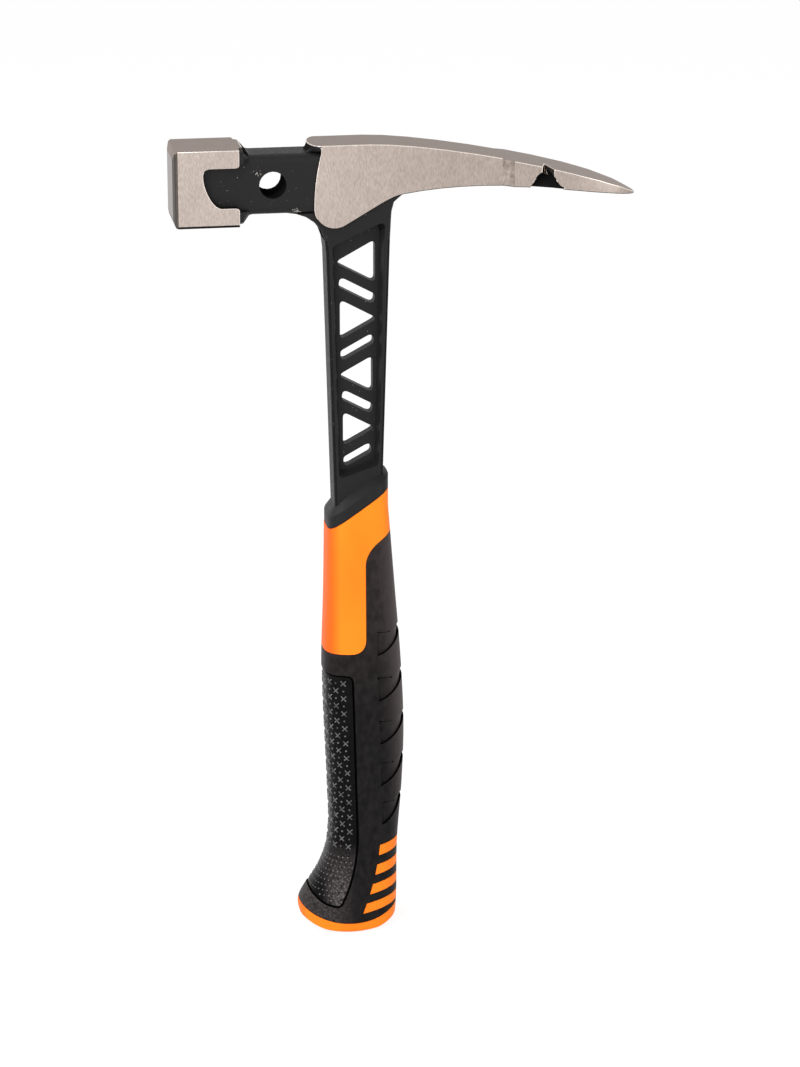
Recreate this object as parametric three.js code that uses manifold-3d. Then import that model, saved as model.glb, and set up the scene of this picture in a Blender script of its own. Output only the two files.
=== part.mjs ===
// One-piece forged bricklayer's hammer with a two-shot moulded grip.
// Millimetres, +Z up. The tool stands upright on its butt: the shaft runs along Z, the pick points along +X
// and the striking face along -X. Heights count from the lowest point of the butt and X from the shaft's
// centre line, and the last lines move the origin to the middle of the base.

import * as THREE from 'three';
import { mergeVertices } from 'three/addons/utils/BufferGeometryUtils.js';
import Module from 'manifold-3d';

// Lengths along the tool
const GRIP_LENGTH = 188; // butt to the shoulder, on the centre line
const SHAFT_LENGTH = 124.8; // shoulder to the underside of the neck
const NECK_HEIGHT = 24.2;
const HEAD_RISE = 3.3; // how far the poll and the pick stand above the neck
const FIT_GAP = 0.3; // clearance between pieces that touch

// Poll: the square striking block, polished, with a painted bite in each side
const POLL_REACH = 75; // centre line to the striking face
const POLL_LENGTH = 26.5;
const POLL_HEIGHT = 31.2;
const POLL_DEPTH = 27;
const POLL_BEVEL = 3.5; // shallow bevel round the striking face
const POLL_BEVEL_FALL = 0.9;
const POLL_LIP = 0.4; // flat edge left round the poll's inner end
// Slope from the poll to the thinner neck: distance from the poll, share of the poll's size, corner radius
const POLL_RAMP = [[0, 1, 4], [1.7, 1, 6], [4.2, 0.12, 4], [5.6, 0, 3.4]];
const BITE_LENGTH = 14.5; // from the poll's inner end towards the striking face
const BITE_TOP_STRIP = 7.5; // polished strip left above the bite
const BITE_BOTTOM_STRIP = 7.8;
const BITE_CORNER = 3;
const BITE_SWEEP = 7.4; // how far the bite's lower corner is swept back
const PRONG_ROUND = 1.8; // on the ends of the polished strips

// Neck
const NECK_DEPTH = 19;
const NECK_HOLE_REACH = 34.7; // centre line to the hole
const NECK_HOLE_DIAMETER = 11;

// Pick: polished cheek at its root, a curved beak, and a flared blade with a rounded edge
const PICK_REACH = 115; // centre line to the tip
const PICK_DROP = 24.7; // top of the head down to the tip
const PICK_DEPTH = 20.5;
const PICK_ROOT_REACH = 18.5; // where the underside starts
const PICK_ROOT_HEIGHT = 20.7;
const PICK_EDGE = 0.6; // thickness of the blunt edge
const PICK_CURVE_START = 4; // where the flat top starts to fall
const PICK_TOP_EASE = 24; // length of the curve handles along the top and the underside
const PICK_TIP_EASE = 19.5;
const PICK_UNDER_EASE = 44;
const PICK_TIP_SLOPE = 0.6; // fall of the top at the tip
const PICK_ROOT_SLOPE = 0.16; // rise of the underside at the root
const PICK_UNDER_SLOPE = 0.175; // fall of the underside at the tip
const BLADE_DEPTH = 25; // wider blade past the flare
const FLARE_REACH = 58.5;
const FLARE_LENGTH = 4.5;
const BLADE_ROUND = 30; // length of the blade's rounded end
const CHEEK_REACH = 18.2; // centre line to the cheek's rear edge
const CHEEK_TOP_REACH = 15.3; // the cheek's rear edge where it meets the neck's top
const CROWN_ROUND = 4.6; // rounded rear end of the crown, above the neck
const CROWN_FILLET = 2.6; // from the neck's top up to the crown
const CHEEK_DROP = 34; // top of the head to the lowest point of the cheek
const CHEEK_NOSE_RADIUS = 8.4;
const CHEEK_ANGLE = 30; // degrees, the cheek's lower edge
const CHEEK_EDGE_REACH = 9; // where that edge turns into the pick's underside

// Nail puller, cut into one side of the blade
const NOTCH_REACH = 75.6;
const NOTCH_WIDTH = 15.2; // at the feet
const NOTCH_WAIST = 9;
const NOTCH_CUT = 8; // from the side face inwards, under the lip
const NOTCH_FOOT_CUT = 2.6; // the hollow's back wall leans out to this at the underside
const NOTCH_LIP = 2; // steel left above the hollow
const NOTCH_SLOT_SHIFT = 1.2; // the slot sits this far towards the tip
const NOTCH_SLOT_WIDTH = 4.8;
const NOTCH_SLOT_CUT = 8.5;

// Shaft: two rails joined by a thin pierced web
const SHAFT_DEPTH = 15;
const SHAFT_TOP_WIDTH = 27;
const SHAFT_BOTTOM_WIDTH = 20;
const SHAFT_SWELL = 14; // height over which the shaft thickens into the neck
const REAR_FILLET = 17.5; // under the neck
const FRONT_FILLET = 9.5; // under the pick
const RAIL_ROUND = 2;
const RAIL_TOP_WIDTH = 3.9;
const RAIL_BOTTOM_WIDTH = 3.2;
const WEB_THICKNESS = 5;
const PANEL_TOP_DROP = 10.7; // underside of the neck to the top of the web panel
const PANEL_BOTTOM_RISE = 16.3; // shoulder to the bottom of the web panel
const PANEL_TOP_ANGLE = 24.4; // degrees
const PANEL_BOTTOM_ANGLE = 18.4;
const PANEL_CORNER = 2;
const PANEL_DRAFT = 0.24; // slope of the recess walls

// Windows in the web: triangles that point left and right in turn, each with a slot below it
const WINDOW_PAIRS = 4;
const WINDOW_TOP_MARGIN = 11.4; // panel top to the middle of the first triangle
const WINDOW_BOTTOM_MARGIN = 4.9; // middle of the last slot to the panel bottom
const WINDOW_BASE_MARGIN = 1.6; // rail to the triangle's upright side
const WINDOW_ANGLE = 28.5; // degrees
const WINDOW_CORNER = 1.6;
const WINDOW_STEP_RATIO = 0.988; // each step down the web against the one above it
const SLOT_MARGIN = 1.5; // rail to the slot's end
const SLOT_WIDTH = 4.1;
const SLOT_CORNER = 2;

// Shoulder that the grip butts against, and the tang inside the grip
const SHOULDER_SLOPE = 0.69; // rise per millimetre towards the pick
const SHOULDER_BAND = 5;
const SHOULDER_TAPER = 4; // from the band up to the shaft
const TANG_TOP_WIDTH = 18;
const TANG_END_WIDTH = 12;
const TANG_DEPTH = 9;
const TANG_END_HEIGHT = 28; // butt to the tang's end
const TANG_HOLES = 3;
const TANG_HOLE_DIAMETER = 6.5;
const TANG_HOLE_PITCH = 48;
const TANG_FIRST_HOLE = 42; // butt to the lowest hole

// Grip sections, as heights above the butt and half sizes. Front is the side under the poll, and the toe
// is the flare that stops the hand there
const GRIP_FRONT = [[0, 23.2], [10.3, 26], [17.5, 22.4], [24.5, 18.1], [33, 14.7], [44, 13], [62, 13.3],
  [GRIP_LENGTH - 73, 15], [GRIP_LENGTH - 38, 13.9], [GRIP_LENGTH, 13.1]];
const GRIP_BACK = [[0, 15], [7, 15.9], [37, 16.5], [66, 18.6], [90, 19.3], [GRIP_LENGTH - 68, 18],
  [GRIP_LENGTH - 36, 15.4], [GRIP_LENGTH, 12.5]];
const GRIP_HALF_DEPTH = [[0, 14.6], [16, 14.6], [42, 13.4], [95, 14], [GRIP_LENGTH - 53, 13.2],
  [GRIP_LENGTH, 12]];
const GRIP_SQUARENESS = [[0, 2.5], [60, 2.6], [GRIP_LENGTH - 68, 2.9], [GRIP_LENGTH, 3.8]]; // exponent
const WALL = 2.5; // thickness of the rubber overmould

// Butt: a rocker with an orange end cap
const ROCKER_RADIUS = 40;
const ROCKER_REACH = 4; // its lowest point lies this far forward
const CAP_RIM = 4.2;
const CAP_EDGE_RADIUS = 2;
const SPIGOT_WIDTH = 20; // plug of the cap inside the core
const SPIGOT_DEPTH = 13;
const SPIGOT_LENGTH = 11;

// Orange lands of the core that show through the overmould
const COLLAR_HEIGHT = 19.3; // ring under the shoulder
const PANEL_EDGE_REACH = 1.8; // centre line to the front panel's edge
const PANEL_LENGTH = 62.5; // shoulder down to the front panel's lower edge
const PANEL_RADIUS = 6.5;
const BAR_COUNT = 4;
const BAR_HEIGHT = 4.45;
const BAR_PITCH = 8.67;
const BAR_TOP = 39; // butt to the top of the highest bar, at its inner end
const BAR_REACH = 7.6; // inner end of the highest bar
const BAR_SLOPE = 0.19;
const BAR_LEAN = 0.11; // slope of the line through the bars' inner ends
const BAR_SWEEP = 111; // radius by which that line curves forward

// Shallow forms in the overmould: gills up the back and a recessed finger panel on the front
const RECESS = 0.8;
const GILL_COUNT = 5;
const GILL_PITCH = 18.1;
const GILL_GROWTH = 1.034; // each pitch against the one below it
const GILL_BASE = 48.1; // inner end of the lowest gill
const GILL_REACH = 8.6; // centre line to that end
const GILL_LEAN = 0.5; // each gill reaches this much further forward than the one below it
const GILL_HEIGHT = 10.4;
const GILL_RISE = 9.6; // the gill's lower edge climbs this much to the back
const GILL_BEND = [0.63, 0.22]; // where that edge bends, as shares of its reach and rise
const FINGER_PANEL_GAP = 9.8; // between the orange panel and the finger panel
const FINGER_TOP_REACH = 3.8; // centre line to the panel's edge, forward
const FINGER_MIDDLE = 45;
const FINGER_MIDDLE_REACH = 2;
const FINGER_BOTTOM = 11.5;
const FINGER_BOTTOM_REACH = 9.4;
const FINGER_CORNER = 3;

// Facets
const RING_POINTS = 32;
const OUTER_STEP = 7;
const INNER_STEP = 14;
const CURVE_STEPS = 10;
const ROUND_STEPS = 4;
const FILLET_STEPS = 6;
const LATHE_STEPS = 144;
const REACH_PAST = 6; // how far a cut runs past what it cuts

const neckUnder = GRIP_LENGTH + SHAFT_LENGTH;
const neckTop = neckUnder + NECK_HEIGHT;
const headTop = neckTop + HEAD_RISE;
const pollInner = -POLL_REACH + POLL_LENGTH;
const pollBottom = headTop - POLL_HEIGHT;
const frontPanelBase = GRIP_LENGTH - PANEL_LENGTH;
const fingerTop = frontPanelBase - FINGER_PANEL_GAP;

const wasm = await Module();
wasm.setup();

// Geometry as a solid that can be joined and cut
function solidOf(geometry) {
  geometry.deleteAttribute('normal');
  geometry.deleteAttribute('uv');
  const merged = mergeVertices(geometry, 1e-4);
  return new wasm.Manifold(new wasm.Mesh({
    numProp: 3,
    vertProperties: new Float32Array(merged.attributes.position.array),
    triVerts: new Uint32Array(merged.index.array),
  }));
}

function geometryOf(solid) {
  const mesh = solid.getMesh();
  const geometry = new THREE.BufferGeometry();
  geometry.setAttribute('position', new THREE.BufferAttribute(mesh.vertProperties, 3));
  geometry.setIndex(new THREE.BufferAttribute(mesh.triVerts, 1));
  geometry.computeVertexNormals();
  return geometry;
}

function prism(shape, depth) {
  return new THREE.ExtrudeGeometry(shape, { depth, bevelEnabled: false, curveSegments: CURVE_STEPS });
}

// An outline drawn in X and Z, carried from y0 to y1
function sidePrism(shape, y0, y1) {
  const geometry = prism(shape, y1 - y0);
  geometry.translate(0, 0, -y1);
  geometry.rotateX(Math.PI / 2);
  return solidOf(geometry);
}

// An outline drawn in X and Y, carried from z0 to z1
function planPrism(shape, z0, z1) {
  const geometry = prism(shape, z1 - z0);
  geometry.translate(0, 0, z0);
  return solidOf(geometry);
}

// An outline drawn in Y and Z, carried from x0 to x1
function endPrism(shape, x0, x1) {
  const geometry = prism(shape, x1 - x0);
  geometry.translate(0, 0, x0);
  const toX = new THREE.Vector3(1, 0, 0);
  const turn = new THREE.Matrix4().makeBasis(new THREE.Vector3(0, 1, 0), new THREE.Vector3(0, 0, 1), toX);
  geometry.applyMatrix4(turn);
  return solidOf(geometry);
}

// The same side outline cut into both faces, from half depth y0 outwards
function bothSides(shape, y0, y1) {
  return sidePrism(shape, -y1, -y0).add(sidePrism(shape, y0, y1));
}

// A solid skinned over convex rings that run anticlockwise seen from the last one
function loft(rings) {
  const count = rings[0].length;
  const last = (rings.length - 1) * count;
  const faces = [];
  for (let level = 0; level < last; level += count) {
    for (let i = 0; i < count; i += 1) {
      const next = (i + 1) % count;
      faces.push(level + i, level + next, level + count + next);
      faces.push(level + i, level + count + next, level + count + i);
    }
  }
  for (let i = 1; i < count - 1; i += 1) {
    faces.push(0, i + 1, i);
    faces.push(last, last + i, last + i + 1);
  }
  const geometry = new THREE.BufferGeometry().setFromPoints(rings.flat());
  geometry.setIndex(faces);
  return solidOf(geometry);
}

function outline(points) {
  return new THREE.Shape(points.map(([x, y]) => new THREE.Vector2(x, y)));
}

// A polygon whose corners are rounded off
function roundedOutline(points, radius) {
  const corners = points.map(([x, y]) => new THREE.Vector2(x, y));
  const shape = new THREE.Shape();
  corners.forEach((corner, i) => {
    const before = corners[(i + corners.length - 1) % corners.length].clone().sub(corner).normalize();
    const after = corners[(i + 1) % corners.length].clone().sub(corner).normalize();
    const setback = radius / Math.tan(before.angleTo(after) / 2);
    const start = corner.clone().addScaledVector(before, setback);
    const end = corner.clone().addScaledVector(after, setback);
    if (i === 0) shape.moveTo(start.x, start.y);
    else shape.lineTo(start.x, start.y);
    shape.quadraticCurveTo(corner.x, corner.y, end.x, end.y);
  });
  shape.closePath();
  return shape;
}

function circle(x, y, radius) {
  return new THREE.Shape().absarc(x, y, radius, 0, 2 * Math.PI);
}

function slopeOf(degrees) {
  return Math.tan(THREE.MathUtils.degToRad(degrees));
}

// Height of the slanted shoulder plane, and of planes parallel to it
function shoulderPlane(x, offset = 0) {
  return GRIP_LENGTH + offset + SHOULDER_SLOPE * x;
}

// Points round a polygon with rounded corners
function roundedPoints(points, radius) {
  return roundedOutline(points, radius).getPoints(ROUND_STEPS).slice(1);
}

// Poll: a block bevelled round its striking face
function poll() {
  const rectangle = (x, halfDepth, bottom, top) => [
    new THREE.Vector3(x, -halfDepth, bottom), new THREE.Vector3(x, halfDepth, bottom),
    new THREE.Vector3(x, halfDepth, top), new THREE.Vector3(x, -halfDepth, top)];
  const half = POLL_DEPTH / 2;
  return loft([
    rectangle(-POLL_REACH, half - POLL_BEVEL, pollBottom + POLL_BEVEL, headTop - POLL_BEVEL),
    rectangle(-POLL_REACH + POLL_BEVEL_FALL, half, pollBottom, headTop),
    rectangle(pollInner, half, pollBottom, headTop)]);
}

// Bites in both sides of the poll, which carry the neck's side faces on towards the striking face
function pollBites() {
  const biteFace = pollInner - BITE_LENGTH;
  const biteTop = headTop - BITE_TOP_STRIP;
  const biteBottom = pollBottom + BITE_BOTTOM_STRIP;
  const open = pollInner + BITE_LENGTH;
  const bite = new THREE.Shape();
  bite.moveTo(open, biteBottom - PRONG_ROUND);
  bite.lineTo(open, biteTop + PRONG_ROUND);
  bite.lineTo(pollInner, biteTop + PRONG_ROUND);
  bite.quadraticCurveTo(pollInner, biteTop, pollInner - PRONG_ROUND, biteTop);
  bite.lineTo(biteFace + BITE_CORNER, biteTop);
  bite.quadraticCurveTo(biteFace, biteTop, biteFace, biteTop - BITE_CORNER);
  bite.bezierCurveTo(biteFace, (biteTop + biteBottom) / 2, biteFace + BITE_SWEEP / 2, biteBottom,
    biteFace + BITE_SWEEP, biteBottom);
  bite.lineTo(pollInner - PRONG_ROUND, biteBottom);
  bite.quadraticCurveTo(pollInner, biteBottom, pollInner, biteBottom - PRONG_ROUND);
  bite.closePath();
  return bothSides(bite, NECK_DEPTH / 2, POLL_DEPTH);
}

// Neck: a round-edged bar that swells to meet the poll
const [neckStart, , neckRound] = POLL_RAMP.at(-1);

function neck() {
  const ring = (x, swell, radius) => {
    const half = THREE.MathUtils.lerp(NECK_DEPTH / 2, POLL_DEPTH / 2 - POLL_LIP, swell);
    const bottom = THREE.MathUtils.lerp(neckUnder, pollBottom + POLL_LIP, swell);
    const top = THREE.MathUtils.lerp(neckTop, headTop, swell);
    return roundedPoints([[-half, bottom], [half, bottom], [half, top], [-half, top]], radius)
      .map((point) => new THREE.Vector3(x, point.x, point.y));
  };
  const ramp = POLL_RAMP.map(([away, swell, radius]) => ring(pollInner + away, swell, radius));
  return loft([ring(pollInner - neckStart, 0, neckRound), ...ramp,
    ring(CHEEK_NOSE_RADIUS - CHEEK_REACH, 0, neckRound)]);
}

// Curve of the pick's top, from the flat to the tip
function pickTopCurve() {
  const tip = headTop - PICK_DROP;
  return new THREE.CubicBezierCurve(
    new THREE.Vector2(PICK_CURVE_START, headTop),
    new THREE.Vector2(PICK_CURVE_START + PICK_TOP_EASE, headTop),
    new THREE.Vector2(PICK_REACH - PICK_TIP_EASE, tip + PICK_TIP_EASE * PICK_TIP_SLOPE),
    new THREE.Vector2(PICK_REACH, tip));
}

// Curve of the pick's underside, from the root to the edge
function pickUnderCurve() {
  const rootZ = headTop - PICK_ROOT_HEIGHT;
  const endX = PICK_REACH - PICK_EDGE;
  const endZ = headTop - PICK_DROP - PICK_EDGE;
  return new THREE.CubicBezierCurve(
    new THREE.Vector2(PICK_ROOT_REACH, rootZ),
    new THREE.Vector2(PICK_ROOT_REACH + PICK_TOP_EASE, rootZ + PICK_TOP_EASE * PICK_ROOT_SLOPE),
    new THREE.Vector2(endX - PICK_UNDER_EASE, endZ + PICK_UNDER_EASE * PICK_UNDER_SLOPE),
    new THREE.Vector2(endX, endZ));
}

// Height of such a curve at a place along the pick
function heightAt(curve, x) {
  return curve.getPoints(200).find((point) => point.x >= x).y;
}

// Cheek and pick seen from the side, anticlockwise from the cheek's top corner
function pickOutline() {
  const top = pickTopCurve();
  const under = pickUnderCurve();
  const noseX = CHEEK_NOSE_RADIUS - CHEEK_REACH;
  const noseZ = headTop - CHEEK_DROP + CHEEK_NOSE_RADIUS;
  const turn = THREE.MathUtils.degToRad(CHEEK_ANGLE);
  const rise = Math.tan(turn);
  const lineX = noseX + CHEEK_NOSE_RADIUS * Math.sin(turn);
  const lineZ = noseZ - CHEEK_NOSE_RADIUS * Math.cos(turn);
  const edgeZ = lineZ + (CHEEK_EDGE_REACH - lineX) * rise;
  const rootZ = under.v0.y;
  const meetX = (rootZ - PICK_ROOT_SLOPE * PICK_ROOT_REACH - edgeZ + rise * CHEEK_EDGE_REACH)
    / (rise - PICK_ROOT_SLOPE);
  const meetZ = edgeZ + rise * (meetX - CHEEK_EDGE_REACH);

  const shape = new THREE.Shape();
  shape.moveTo(-CHEEK_TOP_REACH, headTop);
  shape.lineTo(-CHEEK_TOP_REACH, neckTop);
  shape.quadraticCurveTo(-CHEEK_REACH, (neckTop + noseZ) / 2, -CHEEK_REACH, noseZ);
  shape.absarc(noseX, noseZ, CHEEK_NOSE_RADIUS, Math.PI, 1.5 * Math.PI + turn);
  shape.lineTo(CHEEK_EDGE_REACH, edgeZ);
  shape.quadraticCurveTo(meetX, meetZ, PICK_ROOT_REACH, rootZ);
  shape.bezierCurveTo(under.v1.x, under.v1.y, under.v2.x, under.v2.y, under.v3.x, under.v3.y);
  shape.lineTo(top.v3.x, top.v3.y);
  shape.bezierCurveTo(top.v2.x, top.v2.y, top.v1.x, top.v1.y, top.v0.x, top.v0.y);
  shape.closePath();
  return shape;
}

// Cheek and pick seen from above: parallel sides, a flare, and an elliptical edge
function pickPlan() {
  const half = PICK_DEPTH / 2;
  const wide = BLADE_DEPTH / 2;
  const flareEnd = FLARE_REACH + FLARE_LENGTH;
  const roundStart = PICK_REACH - BLADE_ROUND;
  const shape = new THREE.Shape();
  shape.moveTo(-CHEEK_REACH - REACH_PAST, -half);
  shape.lineTo(FLARE_REACH, -half);
  shape.lineTo(flareEnd, -wide);
  shape.lineTo(roundStart, -wide);
  shape.absellipse(roundStart, 0, BLADE_ROUND, wide, -Math.PI / 2, Math.PI / 2);
  shape.lineTo(flareEnd, wide);
  shape.lineTo(FLARE_REACH, half);
  shape.lineTo(-CHEEK_REACH - REACH_PAST, half);
  shape.closePath();
  return shape;
}

// Rounded rear end of the crown, which runs down to the neck in a hollow fillet
function crownEnd() {
  const ring = (reach, half, height) => new THREE.EllipseCurve(-CHEEK_TOP_REACH, 0, reach, half)
    .getPoints(RING_POINTS).slice(1).map((point) => new THREE.Vector3(point.x, point.y, height));
  const flat = NECK_DEPTH / 2 - neckRound;
  const rings = [ring(CROWN_ROUND + CROWN_FILLET, flat, neckTop - CROWN_FILLET)];
  for (let i = 0; i <= FILLET_STEPS; i += 1) {
    const turn = Math.PI / 2 * i / FILLET_STEPS;
    const out = 1 - Math.sin(turn);
    rings.push(ring(CROWN_ROUND + CROWN_FILLET * out, THREE.MathUtils.lerp(PICK_DEPTH / 2, flat, out),
      neckTop + CROWN_FILLET * (1 - Math.cos(turn))));
  }
  return loft([...rings, ring(CROWN_ROUND, PICK_DEPTH / 2, headTop)]);
}

// The nail puller: an arched hollow under the blade with a tapering slot through the lip above it
function nailNotch() {
  const roof = heightAt(pickTopCurve(), NOTCH_REACH) - NOTCH_LIP;
  const under = heightAt(pickUnderCurve(), NOTCH_REACH);
  const foot = NOTCH_WIDTH / 2;
  const waist = NOTCH_WAIST / 2;
  const arch = new THREE.Shape();
  arch.moveTo(NOTCH_REACH - foot, under - REACH_PAST);
  arch.lineTo(NOTCH_REACH - foot, under);
  arch.bezierCurveTo(NOTCH_REACH - waist, under, NOTCH_REACH - waist, roof, NOTCH_REACH, roof);
  arch.bezierCurveTo(NOTCH_REACH + waist, roof, NOTCH_REACH + waist, under, NOTCH_REACH + foot, under);
  arch.lineTo(NOTCH_REACH + foot, under - REACH_PAST);
  arch.closePath();
  const side = -BLADE_DEPTH / 2;
  const lean = (NOTCH_CUT - NOTCH_FOOT_CUT) / (roof - under);
  const low = NOTCH_FOOT_CUT / lean;
  const room = outline([[side - REACH_PAST, under - low], [side, under - low], [side + NOTCH_CUT, roof],
    [side - REACH_PAST, roof]]);
  const hollow = sidePrism(arch, side - REACH_PAST, side + NOTCH_CUT)
    .intersect(endPrism(room, NOTCH_REACH - NOTCH_WIDTH, NOTCH_REACH + NOTCH_WIDTH));

  const slotReach = NOTCH_REACH + NOTCH_SLOT_SHIFT;
  const mouth = side - REACH_PAST;
  const mouthHalf = NOTCH_SLOT_WIDTH / 2 * (NOTCH_SLOT_CUT + REACH_PAST) / NOTCH_SLOT_CUT;
  const slot = outline([[slotReach - mouthHalf, mouth], [slotReach + mouthHalf, mouth],
    [slotReach, side + NOTCH_SLOT_CUT]]);
  return hollow.add(planPrism(slot, roof - NOTCH_LIP, headTop));
}

// Half the shaft's width at a height, straight from the shoulder to the neck
function shaftHalf(height) {
  const along = (height - GRIP_LENGTH) / SHAFT_LENGTH;
  return THREE.MathUtils.lerp(SHAFT_BOTTOM_WIDTH, SHAFT_TOP_WIDTH, along) / 2;
}

// Shaft: round-edged sections that thicken towards the head, with fillets under the neck and the pick
function shaftBlank() {
  const thin = SHAFT_DEPTH / 2;
  const thick = NECK_DEPTH / 2;
  const rootZ = headTop - PICK_ROOT_HEIGHT;
  const frontX = shaftHalf(neckUnder);
  const frontZ = rootZ - PICK_ROOT_SLOPE * (PICK_ROOT_REACH - frontX);
  const frontStart = frontZ - FRONT_FILLET;
  const frontFillet = new THREE.QuadraticBezierCurve(
    new THREE.Vector2(shaftHalf(frontStart), frontStart), new THREE.Vector2(frontX, frontZ),
    new THREE.Vector2(PICK_ROOT_REACH, rootZ)).getPoints(200);
  const frontAt = (height) => (height < frontStart ? shaftHalf(height)
    : frontFillet.find((point) => point.y >= height).x);
  const depthAt = (height) => THREE.MathUtils.mapLinear(
    THREE.MathUtils.clamp(height, neckUnder - SHAFT_SWELL, neckUnder), neckUnder - SHAFT_SWELL, neckUnder,
    thin, thick);
  const ring = (left, right, leftHalf, rightHalf, lift) => roundedPoints(
    [[left, -leftHalf], [right, -rightHalf], [right, rightHalf], [left, leftHalf]], RAIL_ROUND)
    .map((point) => new THREE.Vector3(point.x, point.y, lift(point.x)));

  const foot = shaftHalf(GRIP_LENGTH);
  const rings = [ring(-foot, foot, thin, thin, (x) => shoulderPlane(x, SHOULDER_BAND / 2))];
  for (let i = 0; i <= FILLET_STEPS; i += 1) {
    const out = i / FILLET_STEPS;
    const height = neckUnder - REAR_FILLET * (1 - out) ** 2;
    const half = depthAt(height);
    rings.push(ring(-shaftHalf(height) - REAR_FILLET * out ** 2, frontAt(height),
      half - neckRound * out ** 3, half, () => height));
  }
  const middle = (neckUnder + rootZ) / 2;
  rings.push(ring(-CHEEK_TOP_REACH, frontAt(middle), thick, thick, () => middle));
  rings.push(ring(CHEEK_NOSE_RADIUS - CHEEK_REACH, PICK_ROOT_REACH, thick, thick, () => rootZ));
  return loft(rings);
}

const panelTop = neckUnder - PANEL_TOP_DROP;
const panelBottom = GRIP_LENGTH + PANEL_BOTTOM_RISE;

function panelHalf(height) {
  const along = (height - GRIP_LENGTH) / SHAFT_LENGTH;
  return shaftHalf(height) - THREE.MathUtils.lerp(RAIL_BOTTOM_WIDTH, RAIL_TOP_WIDTH, along);
}

// Recesses on both sides of the web, with slanted ends and drafted walls
function webPanels() {
  const edge = (side, middle, degrees, grow) => {
    const x = side * (panelHalf(middle) + grow);
    return [x, middle + x * slopeOf(degrees)];
  };
  const ring = (y, grow) => {
    const low = (side) => edge(side, panelBottom - grow, PANEL_BOTTOM_ANGLE, grow);
    const high = (side) => edge(side, panelTop + grow, PANEL_TOP_ANGLE, grow);
    return roundedPoints([low(-1), low(1), high(1), high(-1)], PANEL_CORNER)
      .map((point) => new THREE.Vector3(point.x, y, point.y));
  };
  const floor = WEB_THICKNESS / 2;
  const grow = (NECK_DEPTH - floor) * PANEL_DRAFT;
  const near = loft([ring(-floor, 0), ring(-NECK_DEPTH, grow)]);
  const far = loft([ring(floor, 0).reverse(), ring(NECK_DEPTH, grow).reverse()]);
  return near.add(far);
}

// Triangles and slots cut through the web
function webWindows() {
  const span = panelTop - panelBottom - WINDOW_TOP_MARGIN - WINDOW_BOTTOM_MARGIN;
  const steps = 2 * WINDOW_PAIRS - 1;
  const down = (step) => span * (1 - WINDOW_STEP_RATIO ** step) / (1 - WINDOW_STEP_RATIO ** steps);
  const rise = slopeOf(WINDOW_ANGLE);
  const shapes = [];
  for (let i = 0; i < WINDOW_PAIRS; i += 1) {
    const point = i % 2 === 0 ? -1 : 1;
    const middle = panelTop - WINDOW_TOP_MARGIN - down(2 * i);
    const tip = point * panelHalf(middle);
    const base = -point * (panelHalf(middle) - WINDOW_BASE_MARGIN);
    const spread = (tip - base) * rise;
    shapes.push(roundedOutline([[tip, middle], [base, middle + spread], [base, middle - spread]],
      WINDOW_CORNER));

    const slotMiddle = panelTop - WINDOW_TOP_MARGIN - down(2 * i + 1);
    const end = panelHalf(slotMiddle) - SLOT_MARGIN;
    const lift = SLOT_WIDTH / 2 / Math.cos(THREE.MathUtils.degToRad(WINDOW_ANGLE));
    const left = slotMiddle - point * end * rise;
    const right = slotMiddle + point * end * rise;
    shapes.push(roundedOutline([[-end, left - lift], [end, right - lift], [end, right + lift],
      [-end, left + lift]], SLOT_CORNER));
  }
  return shapes.map((shape) => sidePrism(shape, -SHAFT_DEPTH, SHAFT_DEPTH));
}

// A smooth line through stations of [height, value]
function stationCurve(stations) {
  const heights = stations.map(([height]) => height);
  const values = stations.map(([, value]) => value);
  const curve = new THREE.CubicInterpolant(heights, values, 1);
  return (height) => curve.evaluate(THREE.MathUtils.clamp(height, heights[0], heights.at(-1)))[0];
}

const gripFront = stationCurve(GRIP_FRONT);
const gripBack = stationCurve(GRIP_BACK);
const gripHalfDepth = stationCurve(GRIP_HALF_DEPTH);
const gripSquareness = stationCurve(GRIP_SQUARENESS);

// Rounded-square section of the grip at a height, drawn in by an inset. The ring is lifted by a rule in X
function gripRing(height, inset, lift) {
  const front = inset - gripFront(height);
  const back = gripBack(height) - inset;
  const half = gripHalfDepth(height) - inset;
  const power = 2 / gripSquareness(height);
  const bulge = (value) => Math.sign(value) * Math.abs(value) ** power;
  return Array.from({ length: RING_POINTS }, (_, i) => {
    const angle = 2 * Math.PI * i / RING_POINTS;
    const x = (front + back) / 2 + (back - front) / 2 * bulge(Math.cos(angle));
    return new THREE.Vector3(x, half * bulge(Math.sin(angle)), lift(x));
  });
}

// Shoulder: a band that carries on the grip's outline, tapering up to the shaft
function shoulder() {
  const step = gripHalfDepth(GRIP_LENGTH) - SHAFT_DEPTH / 2;
  const ring = (inset, offset) => gripRing(GRIP_LENGTH, inset, (x) => shoulderPlane(x, offset));
  return loft([ring(0, 0), ring(0, SHOULDER_BAND), ring(step / 2, SHOULDER_BAND + SHOULDER_TAPER / 2),
    ring(step, SHOULDER_BAND + SHOULDER_TAPER)]);
}

// Tang outline, grown by a gap for the socket that takes it
function tangOutline(gap, top) {
  const wide = TANG_TOP_WIDTH / 2 + gap;
  const narrow = TANG_END_WIDTH / 2 + gap;
  const end = TANG_END_HEIGHT - gap;
  return outline([[-narrow, end], [narrow, end], [wide, shoulderPlane(wide, top)],
    [-wide, shoulderPlane(-wide, top)]]);
}

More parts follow.
